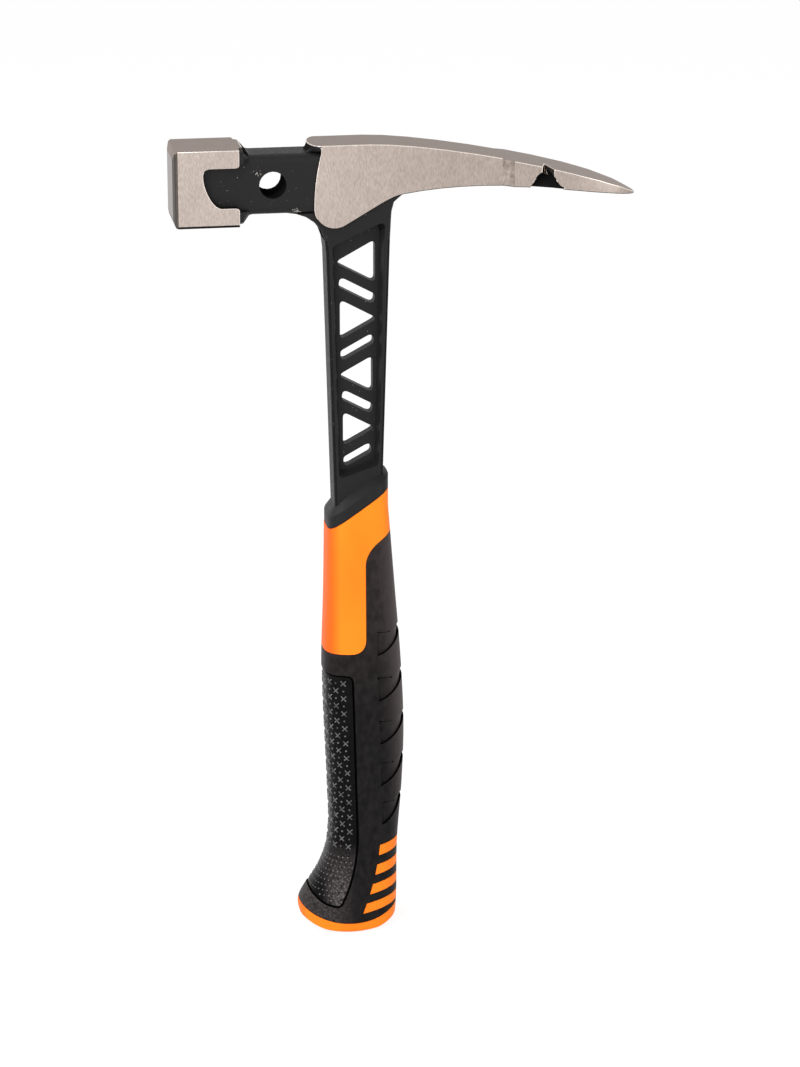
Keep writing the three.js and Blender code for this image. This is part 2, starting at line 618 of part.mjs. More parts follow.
// Tang with holes that the core's plastic fills
function tang(gap, top) {
  const half = TANG_DEPTH / 2 + gap;
  let solid = sidePrism(tangOutline(gap, top), -half, half);
  for (let i = 0; i < TANG_HOLES; i += 1) {
    const hole = circle(0, TANG_FIRST_HOLE + i * TANG_HOLE_PITCH, TANG_HOLE_DIAMETER / 2 - gap);
    solid = solid.subtract(sidePrism(hole, -TANG_DEPTH, TANG_DEPTH));
  }
  return solid;
}

function forgedHammer() {
  const pick = sidePrism(pickOutline(), -BLADE_DEPTH, BLADE_DEPTH).intersect(
    planPrism(pickPlan(), 0, headTop + REACH_PAST)).subtract(nailNotch());
  const neckHole = circle(-NECK_HOLE_REACH, neckUnder + NECK_HEIGHT / 2, NECK_HOLE_DIAMETER / 2);
  let solid = shaftBlank().add(poll()).add(neck()).subtract(pollBites()).subtract(webPanels());
  solid = solid.subtract(sidePrism(neckHole, -NECK_DEPTH, NECK_DEPTH));
  for (const window of webWindows()) solid = solid.subtract(window);
  return solid.add(pick).add(crownEnd()).add(shoulder()).add(tang(0, SHOULDER_BAND / 2));
}

// The grip's outside, or a skin drawn in from it
function gripLoft(inset, step) {
  const low = -REACH_PAST;
  const high = shoulderPlane(gripBack(GRIP_LENGTH)) + REACH_PAST;
  const levels = Math.ceil((high - low) / step);
  const rings = [];
  for (let i = 0; i <= levels; i += 1) {
    const height = THREE.MathUtils.lerp(low, high, i / levels);
    rings.push(gripRing(height, inset, () => height));
  }
  return loft(rings);
}

// Everything between a rocker surface and a plane parallel to the shoulder
function gripSpan(rocker, top) {
  const shape = new THREE.Shape();
  const left = -ROCKER_REACH - rocker;
  const right = -ROCKER_REACH + rocker;
  shape.absarc(-ROCKER_REACH, ROCKER_RADIUS, rocker, Math.PI, 2 * Math.PI);
  shape.lineTo(right, shoulderPlane(right, top));
  shape.lineTo(left, shoulderPlane(left, top));
  shape.closePath();
  return sidePrism(shape, -ROCKER_RADIUS, ROCKER_RADIUS);
}

// Front panel and collar, grown by a gap for the window that shows them
function panelLand(gap) {
  const edge = PANEL_EDGE_REACH + gap;
  const base = frontPanelBase - gap;
  const collar = -COLLAR_HEIGHT - gap * Math.hypot(1, SHOULDER_SLOPE);
  const far = ROCKER_RADIUS;
  const shape = new THREE.Shape();
  shape.moveTo(-far, base);
  shape.lineTo(edge - PANEL_RADIUS, base);
  shape.quadraticCurveTo(edge, base, edge, base + PANEL_RADIUS);
  shape.lineTo(edge, shoulderPlane(edge, collar) - PANEL_RADIUS);
  shape.quadraticCurveTo(edge, shoulderPlane(edge, collar), edge + PANEL_RADIUS,
    shoulderPlane(edge + PANEL_RADIUS, collar));
  shape.lineTo(far, shoulderPlane(far, collar));
  shape.lineTo(far, shoulderPlane(far, REACH_PAST));
  shape.lineTo(-far, shoulderPlane(far, REACH_PAST));
  shape.closePath();
  return sidePrism(shape, -far, far);
}

// Slanted bars round the heel, whose inner ends follow an arc
function barLands(gap) {
  const far = ROCKER_RADIUS;
  const inner = (height) => BAR_REACH - gap - BAR_LEAN * (BAR_TOP - height)
    - (BAR_TOP - height) ** 2 / (2 * BAR_SWEEP);
  let bars = null;
  for (let i = 0; i < BAR_COUNT; i += 1) {
    const top = BAR_TOP - i * BAR_PITCH + gap;
    const bottom = top - BAR_HEIGHT - 2 * gap;
    const bar = outline([[inner(bottom), bottom], [far, bottom + BAR_SLOPE * (far - inner(bottom))],
      [far, top + BAR_SLOPE * (far - inner(top))], [inner(top), top]]);
    const solid = sidePrism(bar, -far, far);
    bars = bars ? bars.add(solid) : solid;
  }
  return bars;
}

function coreSocketForCap(gap) {
  const half = SPIGOT_WIDTH / 2 + gap;
  const shape = outline([[-half, 0], [half, 0], [half, CAP_RIM + SPIGOT_LENGTH + gap],
    [-half, CAP_RIM + SPIGOT_LENGTH + gap]]);
  return sidePrism(shape, -SPIGOT_DEPTH / 2 - gap, SPIGOT_DEPTH / 2 + gap);
}

// Gill k of the back: a pocket with a level top and a lower edge that climbs to the back
function gill(k) {
  const low = GILL_BASE + GILL_PITCH * (GILL_GROWTH ** k - 1) / (GILL_GROWTH - 1);
  const far = ROCKER_RADIUS;
  const reach = GILL_REACH - GILL_LEAN * k;
  const back = gripBack(low);
  const [bendReach, bendRise] = GILL_BEND;
  const shape = new THREE.Shape();
  shape.moveTo(reach, low + GILL_HEIGHT);
  shape.lineTo(reach, low);
  shape.quadraticCurveTo(THREE.MathUtils.lerp(reach, back, bendReach), low + GILL_RISE * bendRise,
    back, low + GILL_RISE);
  shape.lineTo(far, low + GILL_RISE);
  shape.lineTo(far, low + GILL_HEIGHT);
  shape.closePath();
  return sidePrism(shape, -far, far);
}

// Recessed finger panel round the front, ending above the toe
function fingerPanel() {
  const far = ROCKER_RADIUS;
  const shape = new THREE.Shape();
  shape.moveTo(-far, fingerTop);
  shape.lineTo(-far, FINGER_BOTTOM + far);
  shape.quadraticCurveTo(-gripFront(FINGER_BOTTOM), FINGER_BOTTOM + FINGER_CORNER,
    -FINGER_BOTTOM_REACH - FINGER_CORNER, FINGER_BOTTOM + FINGER_CORNER / 3);
  shape.quadraticCurveTo(-FINGER_BOTTOM_REACH, FINGER_BOTTOM, -FINGER_BOTTOM_REACH + FINGER_CORNER / 3,
    FINGER_BOTTOM + FINGER_CORNER);
  shape.quadraticCurveTo(-FINGER_MIDDLE_REACH, (FINGER_BOTTOM + FINGER_MIDDLE) / 2, -FINGER_MIDDLE_REACH,
    FINGER_MIDDLE);
  shape.lineTo(-FINGER_TOP_REACH, fingerTop - FINGER_CORNER);
  shape.quadraticCurveTo(-FINGER_TOP_REACH, fingerTop, -FINGER_TOP_REACH - FINGER_CORNER, fingerTop);
  shape.closePath();
  return sidePrism(shape, -far, far);
}

const gripOutside = gripLoft(0, OUTER_STEP);
const gripReach = gripSpan(ROCKER_RADIUS - CAP_RIM - FIT_GAP, -FIT_GAP);

// Orange first shot: fills the tang's holes, and its lands come out flush with the rubber
function gripCore() {
  const lands = panelLand(0).add(barLands(0)).intersect(gripOutside);
  return gripLoft(WALL + FIT_GAP, INNER_STEP).add(lands).intersect(gripReach)
    .subtract(tang(FIT_GAP, REACH_PAST)).subtract(coreSocketForCap(FIT_GAP));
}

// Black rubber second shot: a sleeve with windows for the orange lands
function gripOvermould() {
  let skin = gripOutside.subtract(fingerPanel());
  for (let k = 0; k < GILL_COUNT; k += 1) skin = skin.subtract(gill(k));
  return skin.add(gripLoft(RECESS, OUTER_STEP)).intersect(gripReach).subtract(gripLoft(WALL, INNER_STEP))
    .subtract(panelLand(FIT_GAP)).subtract(barLands(FIT_GAP));
}

// Orange end cap: a rocker-shaped rim with a plug that goes up into the core
function buttCap() {
  const half = gripHalfDepth(0);
  const round = CAP_EDGE_RADIUS;
  const profile = new THREE.Path();
  profile.moveTo(0, -half);
  profile.lineTo(ROCKER_RADIUS - round, -half);
  profile.absarc(ROCKER_RADIUS - round, round - half, round, -Math.PI / 2, 0);
  profile.lineTo(ROCKER_RADIUS, half - round);
  profile.absarc(ROCKER_RADIUS - round, half - round, round, 0, Math.PI / 2);
  profile.lineTo(0, half);
  const wheel = new THREE.LatheGeometry(profile.getPoints(3), LATHE_STEPS);
  wheel.translate(-ROCKER_REACH, 0, ROCKER_RADIUS);
  const rim = gripOutside.intersect(solidOf(wheel)).subtract(gripSpan(ROCKER_RADIUS - CAP_RIM, 0));
  return rim.add(coreSocketForCap(0).intersect(gripSpan(ROCKER_RADIUS - CAP_RIM / 2, 0)));
}

function piece(name, solid, color, roughness, metalness) {
  const material = new THREE.MeshStandardMaterial({ color, roughness, metalness });
  const mesh = new THREE.Mesh(geometryOf(solid), material);
  mesh.name = name;
  return mesh;
}

const hammer = new THREE.Group();
hammer.add(
  piece('forged_hammer', forgedHammer(), 0x2b2b2c, 0.45, 0.6),
  piece('grip_core', gripCore(), 0xff8a1f, 0.5, 0),
  piece('grip_overmould', gripOvermould(), 0x2e2a28, 0.8, 0),
  piece('butt_cap', buttCap(), 0xff8a1f, 0.5, 0));

const extent = new THREE.Box3().setFromObject(hammer);
const middle = extent.getCenter(new THREE.Vector3());
hammer.position.set(-middle.x, -middle.y, -extent.min.z);

export default hammer;
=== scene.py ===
import math

import bmesh
import bpy
import numpy as np
from mathutils import Matrix, Vector


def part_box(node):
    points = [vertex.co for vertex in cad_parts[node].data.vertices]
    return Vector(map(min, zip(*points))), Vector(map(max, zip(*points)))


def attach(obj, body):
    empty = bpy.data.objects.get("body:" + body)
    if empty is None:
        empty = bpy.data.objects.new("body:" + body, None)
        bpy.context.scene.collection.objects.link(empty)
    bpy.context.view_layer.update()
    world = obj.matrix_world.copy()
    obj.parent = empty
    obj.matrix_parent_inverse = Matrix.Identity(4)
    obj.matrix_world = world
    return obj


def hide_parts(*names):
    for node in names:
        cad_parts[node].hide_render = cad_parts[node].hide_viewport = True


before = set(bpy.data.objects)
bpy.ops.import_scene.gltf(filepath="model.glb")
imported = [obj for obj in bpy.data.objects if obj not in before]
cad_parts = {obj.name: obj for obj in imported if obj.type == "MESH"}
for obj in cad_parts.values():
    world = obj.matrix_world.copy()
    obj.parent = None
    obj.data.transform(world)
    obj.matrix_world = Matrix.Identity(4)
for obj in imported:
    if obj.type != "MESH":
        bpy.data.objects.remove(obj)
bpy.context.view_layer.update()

# Forged hammer: poll, neck, pick, shaft and the tang inside the grip are one steel forging, painted black.
# The poll and the pick are then ground bright on their sides and tops, and the ground edges stay a little
# soft. Lengths are in millimetres from the shaft's middle and the lowest point of the grip.
MM = 0.001
POLL_REACH = 75
POLL_INNER = 48.5
POLL_HALF_DEPTH = 13.5
POLL_HEIGHT = 31.2
HEAD_TOP = 340.3
HEAD_LOWEST = 300
NECK_TOP = 337
CREST_DROP = 2
CROWN_RISE = 1
CROWN_REACH = 20
SHOULDER_TOP = 206
CHEEK_TOP_REACH = 15.3
CHEEK_REACH = 18.2
CHEEK_HALF_DEPTH = 10.25
FLARE_REACH = 58.5
FLARE_END = 63
FLARE_MARGIN = 1
BLADE_HALF_DEPTH = 12.5
BLADE_ROUND_REACH = 85
NOTCH_REACH = 75.6
NOTCH_HALF = 7.7
NOTCH_ROOF = 327
NOTCH_SLOT_DROP = 1.5
NOTCH_BACK = 3
NOTCH_SKIN = 0.05
WELD = 0.02
FLAT_ANGLE = 0.6
EDGE_ROUND = 0.3
EDGE_ANGLE = 27
RIM_ROUND = 1.0
RIM_DEPTH = 1.0
SHADE_ANGLE = 35
NEAR = 0.2
TOUCHING = 0.1

STEEL_SIDE = (0.475, 0.405, 0.363)
# Painted shade: the ground sides are coloured darker along the head, from STEEL_SIDE at the poll to this
# colour at the pick.
STEEL_PICK_SHADED = (0.385, 0.325, 0.288)
# Painted shade: the ground tops are the same steel as the sides, coloured darker.
STEEL_TOP_SHADED = (0.228, 0.176, 0.15)
STEEL_FACE = (0.3, 0.265, 0.25)
# Painted shade: the bevels round the striking face are coloured near black.
STEEL_BEVEL_SHADED = (0.085, 0.072, 0.063)
# Painted shade: the flare ramp and the slot's wall are coloured darker than the sides.
STEEL_FLARE_SHADED = (0.29, 0.243, 0.213)
# Painted highlight: the rounded edges of the ground faces are coloured brighter than the sides.
STEEL_EDGE_GLINT = (0.74, 0.66, 0.6)
# The painted shade along the ground sides starts at the first reach and is full at the second.
SIDE_SHADE_FROM = -20
SIDE_SHADE_TO = 40
# Grain, cloud, skin, wear and mottle are patches to the metre along each axis.
# A bump has a strength and a height in metres.
STEEL_GRAIN = (2900, 2900, 560)
STEEL_CLOUD = (190, 190, 90)
STEEL_CLOUD_SHARE = 0.3
STEEL_CLOUD_SPAN = (0.4, 0.9)
STEEL_CONTRAST = 0.18
STEEL_SMOOTHER = 0.05
STEEL_ROUGHER = 0.06
STEEL_BUMP = (0.12, 0.0001)
FLARE_GRAIN = (900, 900, 520)
FLARE_CONTRAST = 0.34

PAINT = (0.0084, 0.008, 0.0082)
# Painted shade: faces of the black paint turned up or sideways get this copy, which reflects little or
# nothing and so renders darker.
PAINT_MATT_SHADED = (0.0105, 0.0098, 0.0096)
# Painted light: the shaft's recess walls and other faces turned away from the side get this lighter copy of
# the paint.
PAINT_WALL_LIT = (0.016, 0.0152, 0.0152)
PAINT_WORN = (0.085, 0.081, 0.078)
PAINT_CHIPPED = (0.3, 0.28, 0.265)
PAINT_ROUGHNESS = 0.45
PAINT_ROUGHNESS_SPAN = (0.38, 0.52)
PAINT_SKIN = (900, 900, 900)
PAINT_WEAR = (1500, 1500, 1000)
PAINT_BUMP = (0.2, 0.0002)
WEAR_FROM = 0.72
WEAR_FROM_ON_EDGES = 0.66
WEAR_TO = 0.76
CHIP_CORE = 0.3
# Place, radius and strength of each chip in the paint
CHIPS = [(-40.7, -9, 329.9, 3.4, 0.13), (-25.3, -9, 314.1, 2.7, 0.25)]

# Where most values of a noise lie
NOISE_SPAN = (0.3, 0.7)

# How much of a face's normal lies along an axis when the face is turned that way
DEAD_FLAT = 0.9995
SQUARE_ON = 0.99
FACING = 0.9
STEEP = 0.8
HALF_TURNED = 0.5
ROUNDED = 0.35
SLANTED = 0.3
UNDERSIDE = 0.2
TILTED = 0.1
UPRIGHT = 0.05

shaft_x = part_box("forged_hammer")[0].x / MM + POLL_REACH
design_to_frame = Matrix.Translation((shaft_x * MM, 0, 0)) @ Matrix.Scale(MM, 4)


def node(tree, kind, inputs=None, **settings):
    made = tree.nodes.new(kind)
    for key, value in settings.items():
        setattr(made, key, value)
    for socket, value in (inputs or {}).items():
        if isinstance(value, bpy.types.NodeSocket):
            tree.links.new(value, made.inputs[socket])
        else:
            made.inputs[socket].default_value = value
    return made


def calculated(tree, operation, *values):
    return node(tree, "ShaderNodeMath", dict(enumerate(values)), operation=operation).outputs[0]


def new_material(name, roughness, metallic=0.0, specular=0.5):
    material = bpy.data.materials.new(name)
    material.use_nodes = True
    tree = material.node_tree
    shader = tree.nodes["Principled BSDF"]
    shader.inputs["Roughness"].default_value = roughness
    shader.inputs["Metallic"].default_value = metallic
    shader.inputs["Specular IOR Level"].default_value = specular
    return material, tree, shader


def stretched_noise(tree, scale, detail):
    place = node(tree, "ShaderNodeTexCoord").outputs["Object"]
    stretch = node(tree, "ShaderNodeMapping", {"Vector": place, "Scale": scale}).outputs[0]
    noise = node(tree, "ShaderNodeTexNoise", {"Vector": stretch, "Scale": 1.0, "Detail": detail})
    return noise.outputs["Fac"]


def graded(tree, value, low, high, out_low=0.0, out_high=1.0):
    grade = node(tree, "ShaderNodeMapRange", {"Value": value, "From Min": low, "From Max": high,
                                              "To Min": out_low, "To Max": out_high})
    return grade.outputs[0]


def along_axis(tree, axis):
    place = node(tree, "ShaderNodeTexCoord").outputs["Object"]
    return node(tree, "ShaderNodeSeparateXYZ", {0: place}).outputs[axis]


def graded_along(tree, axis, low, high, out_low=0.0, out_high=1.0):
    start = shaft_x if axis == "X" else 0
    return graded(tree, along_axis(tree, axis), (start + low) * MM, (start + high) * MM, out_low, out_high)


def with_alpha(colour):
    return colour if isinstance(colour, bpy.types.NodeSocket) else (*colour, 1)


def mixed(tree, factor, first, second):
    # Sockets 6 and 7 are the two colours to mix, and output 2 is the mixed colour
    mix = node(tree, "ShaderNodeMix", {0: factor, 6: with_alpha(first), 7: with_alpha(second)},
               data_type="RGBA")
    return mix.outputs[2]


def bumped(tree, shader, height, strength, distance):
    bump = node(tree, "ShaderNodeBump", {"Height": height, "Strength": strength, "Distance": distance})
    tree.links.new(bump.outputs[0], shader.inputs["Normal"])


def roughened(tree, shader, noise, smoothest, roughest):
    tree.links.new(graded(tree, noise, *NOISE_SPAN, smoothest, roughest), shader.inputs["Roughness"])


def ground_steel(name, poll_colour, pick_shaded_colour, roughness, speckle=STEEL_GRAIN, contrast=STEEL_CONTRAST):
    material, tree, shader = new_material(name, roughness, metallic=1.0)
    grain = stretched_noise(tree, speckle, detail=2)
    cloud = stretched_noise(tree, STEEL_CLOUD, detail=2)
    both = calculated(tree, "MULTIPLY_ADD", cloud, STEEL_CLOUD_SHARE, grain)
    bright = graded(tree, both, *STEEL_CLOUD_SPAN, 1 - contrast, 1 + contrast)
    # Painted shade: the colour darkens along the head from the poll's colour to the pick's.
    along = graded_along(tree, "X", SIDE_SHADE_FROM, SIDE_SHADE_TO)
    colour = mixed(tree, along, poll_colour, pick_shaded_colour)
    lit = node(tree, "ShaderNodeVectorMath", {0: colour, "Scale": bright}, operation="SCALE").outputs[0]
    tree.links.new(lit, shader.inputs["Base Color"])
    roughened(tree, shader, grain, roughness - STEEL_SMOOTHER, roughness + STEEL_ROUGHER)
    bumped(tree, shader, grain, *STEEL_BUMP)
    return material


def black_paint(name, colour, worn_colour, specular, wear_from=WEAR_FROM):
    material, tree, shader = new_material(name, PAINT_ROUGHNESS, specular=specular)
    skin = stretched_noise(tree, PAINT_SKIN, detail=3)
    worn = stretched_noise(tree, PAINT_WEAR, detail=3)
    place = node(tree, "ShaderNodeTexCoord").outputs["Object"]
    for x, y, z, radius, strength in CHIPS:
        spot = design_to_frame @ Vector((x, y, z))
        away = node(tree, "ShaderNodeVectorMath", {0: place, 1: spot}, operation="DISTANCE").outputs["Value"]
        chipped = graded(tree, away, CHIP_CORE * radius * MM, radius * MM, strength, 0)
        worn = calculated(tree, "ADD", worn, chipped)
    coat = mixed(tree, graded(tree, worn, wear_from, WEAR_TO), colour, worn_colour)
    tree.links.new(coat, shader.inputs["Base Color"])
    roughened(tree, shader, skin, *PAINT_ROUGHNESS_SPAN)
    bumped(tree, shader, skin, *PAINT_BUMP)
    return material


def cad_copy(cad_node, name):
    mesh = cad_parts[cad_node].data.copy()
    mesh.name = name
    shell = bmesh.new()
    shell.from_mesh(mesh)
    bmesh.ops.remove_doubles(shell, verts=shell.verts, dist=WELD * MM)
    bmesh.ops.dissolve_limit(shell, angle_limit=math.radians(FLAT_ANGLE), verts=shell.verts,
                             edges=shell.edges)
    shell.to_mesh(mesh)
    shell.free()
    piece = bpy.data.objects.new(name, mesh)
    bpy.context.scene.collection.objects.link(piece)
    return piece


def settle(piece):
    evaluated = piece.evaluated_get(bpy.context.evaluated_depsgraph_get())
    mesh = bpy.data.meshes.new_from_object(evaluated)
    piece.modifiers.clear()
    piece.data = mesh


# Finishes of the forging. TOP, BEVEL and FLARE are ground steel with painted shade and EDGE has a painted
# highlight; MATT and CREST are the paint with painted shade or a faint sheen on faces turned up or sideways,
# and WALL is the paint with painted light.
PAINTED, SIDE, TOP, FACE, BEVEL, FLARE, EDGE, WORN, MATT, WALL, CREST = range(11)
STEEL = {SIDE, TOP, FACE, BEVEL, FLARE}


def soften(piece):
    shell = bmesh.new()
    shell.from_mesh(piece.data)
    weight = shell.edges.layers.float.new("bevel_weight_edge")
    for edge in shell.edges:
        finishes = {face.material_index for face in edge.link_faces}
        if finishes & STEEL and edge.calc_face_angle(0) > math.radians(EDGE_ANGLE):
            reach = max(corner.co.x for corner in edge.verts) / MM - shaft_x
            height = max(corner.co.z for corner in edge.verts) / MM
            under_poll = reach < -POLL_INNER + TOUCHING and height < HEAD_TOP - POLL_HEIGHT + TOUCHING
            on_rim = reach < -POLL_REACH + RIM_DEPTH
            edge[weight] = 1 if under_poll or on_rim else EDGE_ROUND / RIM_ROUND
    shell.to_mesh(piece.data)
    shell.free()
    bevel = piece.modifiers.new("soft_edges", "BEVEL")
    bevel.width = RIM_ROUND * MM
    bevel.segments = 2
    bevel.limit_method = "WEIGHT"
    bevel.use_clamp_overlap = False
    bevel.material = EDGE
    settle(piece)


def is_flat(face):
    on_poll = face.center.x < (shaft_x - POLL_INNER) * MM
    return abs(face.normal.y) > DEAD_FLAT or (on_poll and face.material_index in STEEL)


def firm_shade(mesh):
    mesh.shade_smooth()
    limit = math.cos(math.radians(SHADE_ANGLE))
    around = [[] for _ in mesh.vertices]
    for face in mesh.polygons:
        for index in face.vertices:
            around[index].append(face)
    normals = []
    for face in mesh.polygons:
        for index in face.vertices:
            close = [other for other in around[index] if other.normal.dot(face.normal) > limit]
            flat = [other for other in close if is_flat(other)]
            chosen = [face] if is_flat(face) else flat or close
            normals.append(sum((other.normal * other.area for other in chosen), Vector()).normalized())
    mesh.normals_split_custom_set(normals)


# Chooses the paint, its worn copy on the rail edges or its lit and shaded copies for a face by its height and
# which way it turns.
def paint_finish_and_shade(z, normal):
    on_shaft = z < HEAD_LOWEST
    if on_shaft and z > SHOULDER_TOP and min(abs(normal.x), abs(normal.y)) > SLANTED:
        return WORN
    if abs(normal.y) > (FACING if on_shaft else ROUNDED):
        return PAINTED
    if on_shaft:
        return WALL
    return CREST if normal.z > STEEP and z > NECK_TOP - CREST_DROP else MATT


def poll_finish_and_shade(y, z, normal):
    if normal.x < -SQUARE_ON:
        return FACE
    if normal.x < -HALF_TURNED:
        return TOP if normal.z > TILTED else BEVEL
    if abs(normal.y) > FACING and abs(y) > POLL_HALF_DEPTH - NEAR:
        return SIDE
    return TOP if normal.z > FACING and z > HEAD_TOP - NEAR else paint_finish_and_shade(z, normal)


def notch_finish_and_shade(z, normal):
    in_slot = z > NOTCH_ROOF - NOTCH_SLOT_DROP and abs(normal.z) < UPRIGHT
    return FLARE if in_slot and normal.x < 0 else MATT


def pick_finish_and_shade(x, y, z, normal):
    in_notch = abs(x - NOTCH_REACH) < NOTCH_HALF and -BLADE_HALF_DEPTH + NOTCH_SKIN < y < -NOTCH_BACK
    if in_notch and normal.z < STEEP:
        return notch_finish_and_shade(z, normal)
    if normal.z > HALF_TURNED and (z > NECK_TOP + CROWN_RISE or x > CHEEK_REACH):
        return TOP
    if abs(normal.z) > HALF_TURNED or (x < -CHEEK_TOP_REACH and z > NECK_TOP):
        return paint_finish_and_shade(z, normal)
    if FLARE_REACH < x < FLARE_END:
        return FLARE
    beside = CHEEK_HALF_DEPTH if x < FLARE_REACH else BLADE_HALF_DEPTH
    return SIDE if abs(y) > beside - NEAR or x > BLADE_ROUND_REACH else paint_finish_and_shade(z, normal)


def forged_finish_and_shade(center, normal):
    x = center.x / MM - shaft_x
    y = center.y / MM
    z = center.z / MM
    if z < HEAD_LOWEST:
        return paint_finish_and_shade(z, normal)
    if x < -POLL_INNER:
        return poll_finish_and_shade(y, z, normal)
    return paint_finish_and_shade(z, normal) if x < -CROWN_REACH else pick_finish_and_shade(x, y, z, normal)


# Gives the rounded edges a painted highlight, or the shaded copies where they turn down, lie on the flare or
# round the poll's rim.
def edge_finish_glint_and_shade(center, normal):
    x = center.x / MM - shaft_x
    if normal.z < -UNDERSIDE:
        return MATT
    if x >= -POLL_REACH + RIM_DEPTH + RIM_ROUND:
        return TOP if FLARE_REACH - FLARE_MARGIN < x < FLARE_END + FLARE_MARGIN else EDGE
    if normal.z > SLANTED:
        return TOP
    return BEVEL if normal.x < -SLANTED else SIDE


forging = cad_copy("forged_hammer", "hammer_forging")
forging.data.materials.clear()
# Besides the steel's and the paint's own colours, this list holds their copies with painted light or shade.
for material in (black_paint("black_paint", PAINT, PAINT_CHIPPED, specular=0.19),
                 ground_steel("ground_side", STEEL_SIDE, STEEL_PICK_SHADED, roughness=0.42),
                 ground_steel("ground_top_shaded", STEEL_TOP_SHADED, STEEL_TOP_SHADED, roughness=0.46),
                 ground_steel("struck_face", STEEL_FACE, STEEL_FACE, roughness=0.4),
                 ground_steel("ground_bevel_shaded", STEEL_BEVEL_SHADED, STEEL_BEVEL_SHADED, roughness=0.4),
                 ground_steel("flare_ramp_shaded", STEEL_FLARE_SHADED, STEEL_FLARE_SHADED, roughness=0.44, speckle=FLARE_GRAIN,
                              contrast=FLARE_CONTRAST),
                 ground_steel("edge_glint_steel", STEEL_EDGE_GLINT, STEEL_EDGE_GLINT, roughness=0.35),
                 black_paint("worn_paint", PAINT_MATT_SHADED, PAINT_WORN, specular=0.02,
                             wear_from=WEAR_FROM_ON_EDGES),
                 black_paint("matt_shaded_paint", PAINT_MATT_SHADED, PAINT_WORN, specular=0),
                 black_paint("wall_paint", PAINT_WALL_LIT, PAINT_WORN, specular=0.08),
                 black_paint("crest_paint", PAINT_MATT_SHADED, PAINT_WORN, specular=0.06)):
    forging.data.materials.append(material)
for face in forging.data.polygons:
    face.material_index = forged_finish_and_shade(face.center, face.normal)
soften(forging)
for face in forging.data.polygons:
    if face.material_index == EDGE:
        face.material_index = edge_finish_glint_and_shade(face.center, face.normal)
firm_shade(forging.data)
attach(forging, "root")
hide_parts("forged_hammer")

# Grip core: hard orange plastic, the first shot of the grip, moulded round the tang before the rubber.
# A collar under the shoulder, a long front panel and the bars round the heel come up flush with the rubber.
GRIP_LENGTH = 188
SHOULDER_SLOPE = 0.69
SEAM = 0.3
# Each station is a height up the grip and the value there
GRIP_FRONT = [(0, 23.2), (10.3, 26), (17.5, 22.4), (24.5, 18.1), (33, 14.7), (44, 13), (62, 13.3), (115, 15),
              (150, 13.9), (188, 13.1)]
GRIP_BACK = [(0, 15), (7, 15.9), (37, 16.5), (66, 18.6), (90, 19.3), (120, 18), (152, 15.4), (188, 12.5)]
GRIP_HALF_DEPTH = [(0, 14.6), (16, 14.6), (42, 13.4), (95, 14), (135, 13.2), (188, 12)]
GRIP_SQUARENESS = [(0, 2.5), (60, 2.6), (120, 2.9), (188, 3.8)]
SKIN = 0.02
FAR = 40
PAST = 6
LOFT_OVER = 20
LOFT_STEP = 1.5
LOFT_SIDES = 128
BEND_STEPS = 10
ROCKER_RADIUS = 40
ROCKER_REACH = 4
ROCKER_STEPS = 96
CAP_RIM = 4.2
COLLAR_HEIGHT = 19.3
PANEL_EDGE = 1.8
PANEL_BASE = 125.5
PANEL_RADIUS = 6.5
BAR_COUNT = 4
BAR_HEIGHT = 4.45
BAR_PITCH = 8.67
BAR_TOP = 39
BAR_REACH = 7.6
BAR_SLOPE = 0.19
BAR_LEAN = 0.11
BAR_SWEEP = 111
ORANGE = (1.0, 0.23, 0.008)
ORANGE_DEEP = (0.97, 0.202, 0.007)
# Painted shade: the orange is coloured redder along the front of the grip.
ORANGE_FRONT_SHADE = (0.95, 0.11, 0.003)
ORANGE_CLOUD = (60, 60, 30)
ORANGE_CLOUD_SPAN = (0.35, 0.65)
ORANGE_SKIN = (1500, 1500, 1500)
ORANGE_ROUGHNESS = 0.5
ORANGE_ROUGHNESS_SPAN = (0.44, 0.56)
ORANGE_SPECULAR = 0.16
ORANGE_BUMP = (0.12, 0.0001)
FRONT_SHADE_FADE = 4
CORE_FRONT_SHADE_REACH = 12.5


def smooth_line(stations):
    heights, values = np.array(stations, float).T
    slopes = np.diff(values) / np.diff(heights)
    tangents = np.concatenate([slopes[:1], (slopes[1:] + slopes[:-1]) / 2, slopes[-1:]])

    def value_at(height):
        t = np.clip(height, heights[0], heights[-1])
        i = np.clip(np.searchsorted(heights, t, side="right") - 1, 0, len(slopes) - 1)
        span = heights[i + 1] - heights[i]
        p = (t - heights[i]) / span
        ends = (2 * p**3 - 3 * p**2 + 1) * values[i] + (3 * p**2 - 2 * p**3) * values[i + 1]
        return ends + span * ((p**3 - 2 * p**2 + p) * tangents[i] + (p**3 - p**2) * tangents[i + 1])

    return value_at


front_at = smooth_line(GRIP_FRONT)
back_at = smooth_line(GRIP_BACK)
half_depth_at = smooth_line(GRIP_HALF_DEPTH)
squareness_at = smooth_line(GRIP_SQUARENESS)


def grip_section(heights, angles, inset):
    front = inset - front_at(heights)
    back = back_at(heights) - inset
    half = half_depth_at(heights) - inset
    power = squareness_at(heights)
    c, s = np.cos(angles), np.sin(angles)
    reach = (np.abs(c / ((back - front) / 2))**power + np.abs(s / half)**power)**(-1 / power)
    return (front + back) / 2 + reach * c, reach * s


def solid(name, points, faces):
    mesh = bpy.data.meshes.new(name)
    mesh.from_pydata(points, [], faces)
    piece = bpy.data.objects.new(name, mesh)
    bpy.context.scene.collection.objects.link(piece)
    return piece


